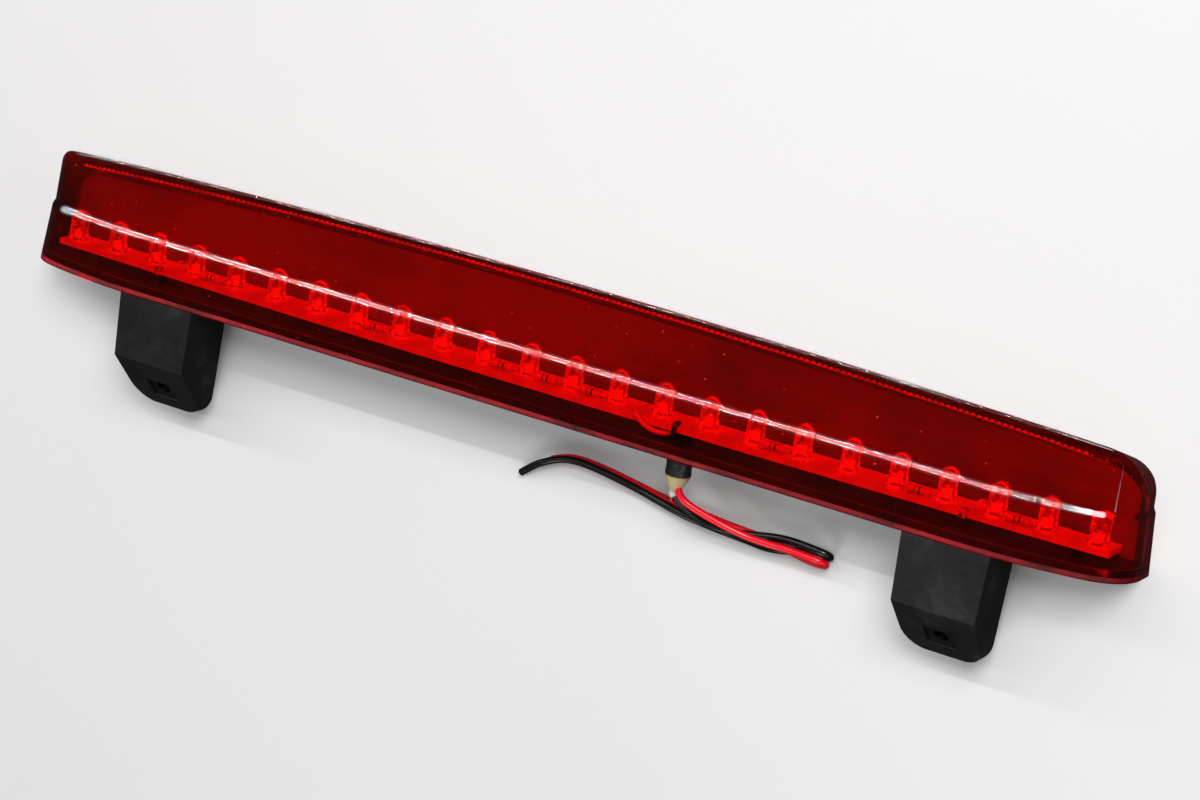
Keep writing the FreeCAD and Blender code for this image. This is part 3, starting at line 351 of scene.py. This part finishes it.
def resistor_bands():
    """Lacquered body with four bands, and tinned leads beyond its ends."""
    n = Nodes("resistor_bands")
    split = n.add("ShaderNodeSeparateXYZ")
    n.link(n.add("ShaderNodeTexCoord").outputs["Generated"], split.inputs[0])
    along = split.outputs["X"]
    tan, tin = (0.70, 0.55, 0.36), (0.75, 0.74, 0.72)
    stops = [(0.0, tin), (0.16, tan), (0.24, (0.6, 0.25, 0.02)), (0.30, tan), (0.40, (0.02, 0.02, 0.02)),
             (0.46, tan), (0.54, (0.25, 0.09, 0.03)), (0.60, tan), (0.72, (0.6, 0.42, 0.1)), (0.78, tan),
             (0.84, tin)]
    color = n.ramp(along, stops, "CONSTANT")
    shader = n.shader(roughness=0.3)
    n.link(color, shader.inputs["Base Color"])
    is_metal = n.ramp(along, [(0.0, (1, 1, 1)), (0.16, (0, 0, 0)), (0.84, (1, 1, 1))], "CONSTANT")
    n.link(is_metal, shader.inputs["Metallic"])
    n.link(n.bump(n.noise(900, 2), 0.00003, 0.3), shader.inputs["Normal"])
    return n.finish(shader.outputs[0])


def dried_sealant():
    """Tan compound that turns greyish white toward its tip."""
    n = Nodes("dried_sealant")
    split = n.add("ShaderNodeSeparateXYZ")
    n.link(n.add("ShaderNodeTexCoord").outputs["Generated"], split.inputs[0])
    mottle = n.noise(700, 5, 0.7)
    add = n.add("ShaderNodeMath", operation="MULTIPLY_ADD")
    n.link(mottle, add.inputs[0])
    add.inputs[1].default_value = 0.35
    n.link(split.outputs["Y"], add.inputs[2])
    color = n.ramp(add.outputs[0], [(0.15, (0.30, 0.23, 0.09)), (0.62, (0.46, 0.38, 0.20)),
                                    (0.82, (0.30, 0.26, 0.22)), (1.0, (0.55, 0.53, 0.50))])
    shader = n.shader(roughness=0.5)
    n.link(color, shader.inputs["Base Color"])
    n.link(n.span(mottle, 0.3, 0.65), shader.inputs["Roughness"])
    n.link(n.bump(n.noise(500, 5, 0.7), 0.0002, 0.8), shader.inputs["Normal"])
    return n.finish(shader.outputs[0])


# ---------------------------------------------------------------- the lens

RIM_Y = 1.9
BACK_WALL = 2.4             # thickness of the flat wall that lies on the floor
HALF_LENGTH, THICKNESS = 167.2, 26.0
STRAIGHT_HALF, LEAD_IN, CORNER = 123.2, 119.0, 14.1
SLANT = 0.3
CROWN_LEVEL = 22.7          # Z where the crown heights are given
# height, drop at the ends, half length and end radius of the crowned face, outside and inside
OUTER_CROWN = (37.1, 3.1, 164.93, 9.0)
INNER_CROWN = (35.1, 4.5, 163.1, 7.0)
OUTER_FILLET, INNER_FILLET = 0.9, 0.35
# (depth, inset of the wall) pairs: the outer one steps in at the ridge
OUTER_INSETS = [(0, 0.0), (15.8, 1.5), (17.1, 2.2), (40, 3.3)]
INNER_INSETS = [(3.0, 2.6), (40, 5.9)]
LEDGE_INSET, LEDGE_DEPTH = 1.8, 3.0
FLUTE_PITCH, FLUTE_DEPTH = 1.7, 0.8
INNER_EDGE = 23             # row of the inner skin where its top edge turns onto the face
EDGE_ABOVE, EDGE_WITHIN = 17.0, 158.0      # where that edge is frosted: Z above, X within
SPINE_HALF = 152.0          # the closing line of the emitting face
SPINE_Z = 11.4
HALVINGS = 30               # steps of the search for where wall and face meet
PLAN_STEPS = 1700
RED, BACK, EDGE, UNDERSIDE, RIM = range(5)     # the lens's material slots


def blend_steps(value, steps):
    """Straight-line interpolation over (depth, size) pairs."""
    depths = [d for d, s in steps]
    sizes = [s for d, s in steps]
    return np.interp(value, depths, sizes)


def plan_loop(u, inset, back, back_radius):
    """X and Z of the plan outline at fractions u of its length; u runs from the middle of the back."""
    front = THICKNESS - inset
    end = HALF_LENGTH - inset
    lead = LEAD_IN - inset
    corner = CORNER - inset
    turn = np.arcsin((end - corner - STRAIGHT_HALF) / (lead - corner))
    corner_x = end - corner
    corner_z = front - lead + (lead - corner) * np.cos(turn)
    pieces = [
        end - back_radius + 0 * u,
        back_radius * math.pi / 2 + 0 * u,
        corner_z - back - back_radius + 0 * u,
        corner * (math.pi / 2 - turn) + 0 * u,
        lead * turn + 0 * u,
        STRAIGHT_HALF + 0 * u,
    ]
    ends = np.cumsum(pieces, axis=0)
    total = ends[-1]
    side = np.where(u < 0.5, 1.0, -1.0)
    s = np.where(u < 0.5, u, 1 - u) * 2 * total
    a = (s - ends[0]) / back_radius
    b = (s - ends[2]) / corner
    c = math.pi / 2 - turn + (s - ends[3]) / lead
    conditions = [s < ends[0], s < ends[1], s < ends[2], s < ends[3], s < ends[4]]
    x = np.select(conditions, [s, end - back_radius + back_radius * np.sin(a), end + 0 * s,
                               corner_x + corner * np.cos(b), STRAIGHT_HALF + lead * np.cos(c)],
                  STRAIGHT_HALF - (s - ends[4]))
    z = np.select(conditions, [back + 0 * s, back + back_radius - back_radius * np.cos(a),
                               back + back_radius + (s - ends[1]), corner_z + corner * np.sin(b),
                               front - lead + lead * np.sin(c)], front + 0 * s)
    return side * x, z


def crown_depth(x, z, height, drop, half, corner):
    """Depth of the slanted, crowned face over a plan point."""
    big = (half ** 2 + drop ** 2) / (2 * drop)
    tip = math.asin((half - corner) / (big - corner))
    round_x = half - corner
    round_depth = height - big + (big - corner) * math.cos(tip)
    switch = big * math.sin(tip)
    size = np.abs(x)
    middle = height - big + np.sqrt(np.maximum(big ** 2 - size ** 2, 0))
    rounded = round_depth + np.sqrt(np.maximum(corner ** 2 - (size - round_x) ** 2, 0))
    return np.where(size < switch, middle, rounded) - SLANT * (CROWN_LEVEL - z)


def skin(u, insets, backs, back_radius, levels, crown, fillet, flutes=0.0):
    """Grid of points from the rim over the top edge to the middle line, one row for each step."""
    def wall(depth):
        return plan_loop(u, blend_steps(depth, insets), blend_steps(depth, backs), back_radius)

    low, high = np.full(u.shape, 10.0), np.full(u.shape, 40.0)
    for _ in range(HALVINGS):
        middle = (low + high) / 2
        x, z = wall(middle)
        inside = middle < crown_depth(x, z, *crown)
        low = np.where(inside, middle, low)
        high = np.where(inside, high, middle)
    top = low
    top_x, top_z = wall(top)
    spine_z = np.full(u.shape, SPINE_Z)
    spine_x = np.clip(top_x, -SPINE_HALF, SPINE_HALF)
    rows = []
    for level in levels:
        rows.append((*wall(np.full(u.shape, float(level))), np.full(u.shape, float(level))))
    last = levels[-1]
    for share in np.linspace(0.08, 1.0, 8):
        depth = last + (top - fillet - last) * share
        rows.append((*wall(depth), depth))
    start = np.array(rows[-1])
    run = np.hypot(spine_x - top_x, spine_z - top_z)

    def over(distance):
        """Point of the face at that distance from its edge."""
        share = np.minimum(distance / run, 1.0)
        x = top_x + (spine_x - top_x) * share
        z = top_z + (spine_z - top_z) * share
        return np.array([x, z, crown_depth(x, z, *crown)])

    edge = np.array([top_x, top_z, top])
    stop = over(np.full(u.shape, fillet))
    for t in np.linspace(0, 1, 7)[1:]:
        rows.append(tuple((1 - t) ** 2 * start + 2 * t * (1 - t) * edge + t ** 2 * stop))
    for share in np.linspace(0, 1, 14)[1:]:
        distance = fillet + (run - fillet) * share
        x, z, depth = over(distance)
        wave = np.abs(np.sin(math.pi * x / FLUTE_PITCH)) * flutes * min(1.0, 14 * share)
        rows.append((x, z, depth + wave))
    return np.array(rows)


def lens_grid(u):
    """Outer skin from rim to face, and inner skin from the mouth over the ledge to the face."""
    outer_levels = [0.0, 0.3, 1.4, 3.0, 6.0, 10.0, 13.0, 15.5, 15.8, 16.1, 16.5, 16.8, 17.1, 17.5]
    outer = skin(u, OUTER_INSETS, [(0, 0.0)], 2.0, outer_levels, OUTER_CROWN, OUTER_FILLET)
    inner_levels = [LEDGE_DEPTH, 3.3, 6.0, 10.0, 15.0, 18.0]
    inner = skin(u, INNER_INSETS, [(0, BACK_WALL)], 1.0, inner_levels, INNER_CROWN, INNER_FILLET, FLUTE_DEPTH)
    inset = np.full(u.shape, LEDGE_INSET)
    mouth = []
    for level in (0.0, 0.3, LEDGE_DEPTH - 0.3, LEDGE_DEPTH):
        mouth.append((*plan_loop(u, inset, inset, 1.0), np.full(u.shape, level)))
    return outer, np.concatenate([np.array(mouth), inner])


def paint_edges(outside, inside):
    """Frosted faces: the outer rim row, the ledge, and the inner top edge away from the ends."""
    for rows, level in ((outside, 1), (inside, 3), (inside, INNER_EDGE), (inside, INNER_EDGE + 1)):
        for a, b in zip(rows[level], rows[level + 1]):
            for face in set(a.link_faces) & set(b.link_faces):
                middle = face.calc_center_median()
                if rows is outside:
                    face.material_index = RIM
                elif level == 3 or (middle.z > EDGE_ABOVE * MM and abs(middle.x) < EDGE_WITHIN * MM):
                    face.material_index = EDGE


def make_lens(*materials):
    """The lens tub, with materials in the order RED, BACK, EDGE, UNDERSIDE, RIM."""
    count = PLAN_STEPS
    outer, inner = lens_grid((np.arange(count) + 0.5) / count)
    mesh = bmesh.new()

    def strip(grid, flip):
        rows = [[mesh.verts.new((x * MM, (RIM_Y - d) * MM, z * MM)) for x, z, d in zip(*row)] for row in grid]
        for a, b in zip(rows, rows[1:]):
            for i in range(count):
                j = (i + 1) % count
                corners = (a[i], a[j], b[j], b[i])
                face = mesh.faces.new(corners[::-1] if flip else corners)
                face.smooth = True
        return rows

    outside = strip(outer, False)
    inside = strip(inner, True)
    for i in range(count):
        j = (i + 1) % count
        mesh.faces.new((outside[0][j], outside[0][i], inside[0][i], inside[0][j]))
    paint_edges(outside, inside)
    bmesh.ops.remove_doubles(mesh, verts=outside[-1] + inside[-1], dist=0.02 * MM)
    bmesh.ops.dissolve_degenerate(mesh, dist=0.0005 * MM, edges=mesh.edges)
    bmesh.ops.recalc_face_normals(mesh, faces=mesh.faces)
    # the wall lying on the floor takes the painted shade: BACK on its inner face, UNDERSIDE on its outer face
    back_limit = (BACK_WALL + 0.05) * MM
    for face in mesh.faces:
        if all(v.co.z < back_limit for v in face.verts) and abs(face.normal.z) > 0.9:
            face.material_index = UNDERSIDE if face.verts[0].co.z < 1.0 * MM else BACK
    data = bpy.data.meshes.new("lens_shell")
    mesh.to_mesh(data)
    mesh.free()
    for material in materials:
        data.materials.append(material)
    piece = bpy.data.objects.new("lens_shell", data)
    piece.visible_diffuse = False
    bpy.context.scene.collection.objects.link(piece)
    mark_sharp(data, 35)
    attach(piece, "root")
    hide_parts("lens")
    return piece


def mark_sharp(data, degrees):
    """Smooth shading that breaks at edges sharper than the angle."""
    for polygon in data.polygons:
        polygon.use_smooth = True
    data.set_sharp_from_angle(angle=math.radians(degrees))


# ---------------------------------------------------------------- LEDs

ROW_X, ROW_Z, LED_PITCH, LED_COUNT = -1.5, 13.0, 13.48, 24
BOARD_TOP = RIM_Y - 7.2
LED_BASE = BOARD_TOP - 0.4


def lathe(mesh, outline, sides, axis, centre, material=0):
    """Turn (radius, distance) pairs round an axis, with distance measured toward -Y ("Y") or +X ("X")."""
    rings = []
    for radius, distance in outline:
        ring = []
        for k in range(sides):
            angle = 2 * math.pi * k / sides
            p, q = radius * math.cos(angle), radius * math.sin(angle)
            offset = (p, -distance, q) if axis == "Y" else (distance, p, q)
            ring.append(mesh.verts.new((Vector(centre) + Vector(offset)) * MM))
        rings.append(ring)
    for a, b in zip(rings, rings[1:]):
        for k in range(sides):
            face = mesh.faces.new((a[k], a[(k + 1) % sides], b[(k + 1) % sides], b[k]))
            face.smooth = True
            face.material_index = material
    for ring in (rings[0][::-1], rings[-1]):
        face = mesh.faces.new(ring)
        face.material_index = material
    return rings


def block(mesh, low, high, material=0, bevel=0.0):
    """A box with its edges broken, sizes in millimetres."""
    made = bmesh.ops.create_cube(mesh, size=1.0)
    verts = made["verts"]
    middle = (Vector(low) + Vector(high)) / 2
    size = Vector(high) - Vector(low)
    for v in verts:
        v.co = Vector((middle[i] + v.co[i] * size[i]) * MM for i in range(3))
    faces = {f for v in verts for f in v.link_faces}
    for f in faces:
        f.material_index = material
    if bevel:
        edges = {e for v in verts for e in v.link_edges}
        result = bmesh.ops.bevel(mesh, geom=list(edges), offset=bevel * MM, segments=2,
                                 affect="EDGES", profile=0.5)
        for f in result["faces"]:
            f.material_index = material
            f.smooth = True


def led_mesh():
    """One LED about its own base: epoxy body, the two lead frames inside it, and the pins below."""
    mesh = bmesh.new()
    radius, flange, flat, tall = 2.5, 2.9, 2.62, 8.6
    outline = [(flange - 0.1, 0.0), (flange, 0.1), (flange, 0.9), (flange - 0.1, 1.0), (radius + 0.05, 1.0),
               (radius, 1.1), (radius, tall - radius)]
    outline += [(radius * math.cos(a), tall - radius + radius * math.sin(a))
                for a in np.linspace(0, math.pi / 2 * 0.93, 9)[1:]]
    rings = lathe(mesh, outline, 32, "Y", (0, 0, 0))
    for ring in rings[:5]:
        for v in ring:
            v.co.x = max(v.co.x, -flat * MM)
    for side, high, wide in ((-1, 4.6, 1.1), (1, 4.9, 0.55)):
        x = 1.27 * side
        block(mesh, (x - 0.25, -high + 1.2, -0.25), (x + 0.25, 2.9, 0.25), 1, 0.04)
        inner = x - side * wide
        outer = x + side * 0.3
        block(mesh, (min(outer, inner), -high, -0.22), (max(outer, inner), -high + 1.3, 0.22), 1, 0.06)
    lathe(mesh, [(0.28, 4.6), (0.62, 5.15), (0.55, 5.15), (0.25, 4.75)], 16, "Y", (-0.45, 0, 0), 1)
    data = bpy.data.meshes.new("led")
    mesh.to_mesh(data)
    mesh.free()
    return data


def make_leds(epoxy, tin):
    data = led_mesh()
    data.materials.append(epoxy)
    data.materials.append(tin)
    mark_sharp(data, 40)
    leds = []
    for index in range(1, LED_COUNT + 1):
        piece = bpy.data.objects.new("led_body_%02d" % index, data)
        bpy.context.scene.collection.objects.link(piece)
        x = ROW_X + (index - (LED_COUNT + 1) / 2) * LED_PITCH
        piece.location = (x * MM, LED_BASE * MM, ROW_Z * MM)
        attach(piece, "root")
        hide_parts("led_%02d" % index)
        leds.append(piece)
    return leds


# ---------------------------------------------------------------- lead boot

BOOT_X, BOOT_RADIUS = -42.2, 3.5


def turned(mesh, outline, sides, x=BOOT_X, z=ROW_Z):
    """Turn (radius, distance from the rim) pairs round the boot's axis, or one beside it."""
    places = [(radius, -(RIM_Y + distance)) for radius, distance in outline]
    return lathe(mesh, places, sides, "Y", (x, 0, z))


def outward(v):
    """Direction from the boot's axis to a vertex."""
    return Vector((v.co.x - BOOT_X * MM, 0, v.co.z - ROW_Z * MM)).normalized()


def make_boot(rubber):
    """Soft sleeve with faint ripples, and its shoulder inside the plate."""
    mesh = bmesh.new()
    outline = []
    for distance in np.linspace(-0.8, 7.0, 26):
        ripple = 0.05 * math.sin(distance * 2.1) + 0.03 * math.sin(distance * 5.3 + 1)
        outline.append((BOOT_RADIUS - 0.08 + ripple, distance))
    outline += [(BOOT_RADIUS - 0.2, 7.15), (BOOT_RADIUS - 0.5, 7.2)]
    sides = 40
    for i, ring in enumerate(turned(mesh, outline, sides)):
        for k, v in enumerate(ring):
            push = 0.05 * math.sin(3 * 2 * math.pi * k / sides + i * 0.35)
            v.co += outward(v) * push * MM
    shoulder = [(2.4, -1.1), (2.55, -1.05), (2.6, 0.0), (2.6, 1.1)]
    lathe(mesh, shoulder, 32, "Y", (BOOT_X, RIM_Y - 1.9, ROW_Z))
    finish_piece(mesh, "boot_sleeve", rubber, "boot_black", "lead_boot")


def make_sealant(sealant):
    """A lumpy cone that leans toward +X and the floor."""
    mesh = bmesh.new()
    cone = [(3.1, 7.0), (3.25, 7.3), (3.2, 7.8), (3.0, 8.5), (2.65, 9.2), (2.2, 9.9), (1.9, 10.5),
            (1.65, 11.0), (1.45, 11.6), (1.25, 12.2), (1.0, 12.8), (0.7, 13.3), (0.35, 13.6)]
    sides = 40
    for i, ring in enumerate(turned(mesh, cone, sides)):
        share = i / (len(cone) - 1)
        lean = Vector((0.75, 0, -0.45)) * MM * max(0.0, share - 0.3) * 1.6
        for k, v in enumerate(ring):
            angle = 2 * math.pi * k / sides
            lump = 0.20 * share * math.sin(3 * angle + 2.0 * i)
            lump += 0.12 * share * math.sin(5 * angle - 1.3 * i)
            v.co += outward(v) * lump * MM * 0.8 + lean
    finish_piece(mesh, "sealant_cone", sealant, "sealant_tan", "boot_sealant")


def make_strands(copper):
    """Three stray copper strands at the tip of the sealant."""
    mesh = bmesh.new()
    for k, (dx, dz) in enumerate(((0.0, 0.0), (0.22, 0.08), (0.1, -0.2))):
        outline = [(0.12, 12.6), (0.12, 13.6), (0.11, 14.6 - 0.25 * k), (0.05, 14.8 - 0.25 * k)]
        turned(mesh, outline, 10, BOOT_X + 0.9 + dx, ROW_Z - 0.6 + dz)
    finish_piece(mesh, "stray_strands", copper, "sealant_tan")


def finish_piece(mesh, name, material, slot, *nodes):
    bmesh.ops.recalc_face_normals(mesh, faces=mesh.faces)
    data = bpy.data.meshes.new(name)
    mesh.to_mesh(data)
    mesh.free()
    data.materials.append(material)
    mark_sharp(data, 40)
    piece = bpy.data.objects.new(name, data)
    bpy.context.scene.collection.objects.link(piece)
    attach(piece, "root")
    if nodes:
        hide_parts(*nodes)


# ---------------------------------------------------------------- materials on the CAD pieces

def dress(node, material, bevel=0.0):
    piece = NODES[node]
    for slot in piece.material_slots:
        slot.material = material
    if bevel:
        edge = piece.modifiers.new("soft_edges", "BEVEL")
        edge.width = bevel * MM
        edge.segments = 3
        edge.limit_method = "ANGLE"
        edge.angle_limit = math.radians(35)
        edge.harden_normals = True


# ---------------------------------------------------------------- studio

WORLD_GREY, WORLD_SOFT, WORLD_DIM = 0.80, 0.25, 0.035     # seen, filling shadows, in reflections


def make_floor():
    n = Nodes("floor_paper")
    shader = n.shader(roughness=0.9)
    greys = n.ramp(n.noise(3, 2), [(0.3, (0.57, 0.57, 0.57)), (0.7, (0.59, 0.59, 0.59))])
    n.link(greys, shader.inputs["Base Color"])
    paper = n.finish(shader.outputs[0])
    mesh = bmesh.new()
    bmesh.ops.create_grid(mesh, x_segments=8, y_segments=8, size=4.0)
    data = bpy.data.meshes.new("floor")
    mesh.to_mesh(data)
    mesh.free()
    data.materials.append(paper)
    floor = bpy.data.objects.new("floor", data)
    floor.location = (0, 0, -0.0002)
    bpy.context.scene.collection.objects.link(floor)
    floor.visible_transmission = False
    floor.visible_glossy = False


def area_light(name, direction, distance, size, power, color=(1, 1, 1), size_y=None):
    data = bpy.data.lights.new(name, "AREA")
    data.energy = power
    data.color = color
    data.shape = "RECTANGLE"
    data.size = size
    data.size_y = size_y or size
    lamp = bpy.data.objects.new(name, data)
    toward = Vector(direction).normalized()
    across = (Vector((1, 0, 0)) - toward * toward.x).normalized()
    turn = Matrix((across, toward.cross(across), toward)).transposed()
    lamp.matrix_world = Matrix.Translation(toward * distance) @ turn.to_4x4()
    bpy.context.scene.collection.objects.link(lamp)
    return lamp


def let_light_in(pieces):
    """The lamps reach the inside through these clear pieces, which then cast no shadow of their own."""
    clear = bpy.data.collections.new("clear_pieces")
    for piece in pieces:
        clear.objects.link(piece)
    for entry in clear.collection_objects:
        entry.light_linking.link_state = "EXCLUDE"
    for lamp in bpy.data.objects:
        if lamp.type == "LIGHT":
            lamp.light_linking.blocker_collection = clear


def glint_on(piece, lamp):
    """Only this piece receives the lamp, so that its thin edges shine and the room isn't lit."""
    only = bpy.data.collections.new(lamp.name + "_on")
    only.objects.link(piece)
    lamp.light_linking.receiver_collection = only


def make_world():
    """A pale grey background that fills shadows softly and hardly shows in reflections."""
    world = bpy.data.worlds.new("studio")
    bpy.context.scene.world = world
    world.use_nodes = True
    tree = world.node_tree
    tree.nodes.clear()

    def glow(grey, strength):
        node = tree.nodes.new("ShaderNodeBackground")
        node.inputs["Color"].default_value = (grey, grey, grey, 1)
        node.inputs["Strength"].default_value = strength
        return node

    def choose(ray, otherwise, chosen):
        """One glow for rays of this kind, and another for the rest."""
        node = tree.nodes.new("ShaderNodeMixShader")
        tree.links.new(path.outputs[ray], node.inputs[0])
        tree.links.new(otherwise.outputs[0], node.inputs[1])
        tree.links.new(chosen.outputs[0], node.inputs[2])
        return node

    path = tree.nodes.new("ShaderNodeLightPath")
    around = choose("Is Diffuse Ray", glow(1, WORLD_DIM), glow(1, WORLD_SOFT))
    mix = choose("Is Camera Ray", around, glow(WORLD_GREY, 1))
    output = tree.nodes.new("ShaderNodeOutputWorld")
    tree.links.new(mix.outputs[0], output.inputs["Surface"])


TOWARD_KEY = (0.437, -0.573, 0.693)    # the raised line on the front wall mirrors this direction


def make_studio(lens, leds):
    make_floor()
    make_world()
    area_light("key", TOWARD_KEY, 1.4, 2.4, 9, size_y=0.018)
    area_light("key_edge", (0.437, -0.22, 0.87), 1.4, 2.4, 3, size_y=0.02)
    area_light("key_band", (0.437, -0.60, 0.66), 1.45, 2.3, 1.3, (1, 0.35, 0.38), size_y=0.10)
    area_light("overhead", (-0.45, -0.62, 0.85), 1.5, 0.6, 20)
    area_light("side", (-0.85, 0.35, 0.55), 1.6, 0.5, 3)
    area_light("back", (0.1, 0.9, 0.8), 1.6, 0.8, 7)
    let_light_in([lens, *leds])
    glint_on(lens, area_light("glint", TOWARD_KEY, 1.38, 2.4, 65, size_y=0.018))
    bpy.context.scene.view_settings.view_transform = "Standard"


# ---------------------------------------------------------------- the whole lamp

make_camera()
wire_red = glossy_insulation("wire_red", (0.68, 0.0, 0.010))
wire_black = glossy_insulation("wire_black", (0.004, 0.004, 0.004))
make_lead("red_lead", RED_ROUTE, wire_red)
make_lead("black_lead", BLACK_ROUTE, wire_black)

lens = make_lens(red_plastic("lens_red", (0.72, 0.0, 0.0)), back_wall_painted_shade(),
                 frosted_edge("lens_edge", 0.35, 1.0), underside_painted_shade(), frosted_edge("lens_rim", 0.02, 0.16))
leds = make_leds(led_epoxy(), metal("lead_frame", (0.78, 0.76, 0.72), 0.3))
make_boot(grained_plastic("boot_rubber", (0.008, 0.008, 0.008), 0.42, 900))
make_sealant(dried_sealant())
make_strands(metal("copper", (0.72, 0.38, 0.2), 0.35))
dress("housing", housing_plastic(), 0.35)
dress("lens_seal_bead", grained_plastic("seal_black", (0.02, 0.018, 0.02), 0.5))
dress("mounting_nuts", metal("nut_steel", (0.09, 0.088, 0.085), 0.35), 0.15)
dress("circuit_board", board_mask())
bands = resistor_bands()
for name in sorted(NODES):
    if name.startswith("resistor"):
        dress(name, bands)
dress("red_pigtail", wire_red)
dress("black_pigtail", wire_black)
make_studio(lens, leds)
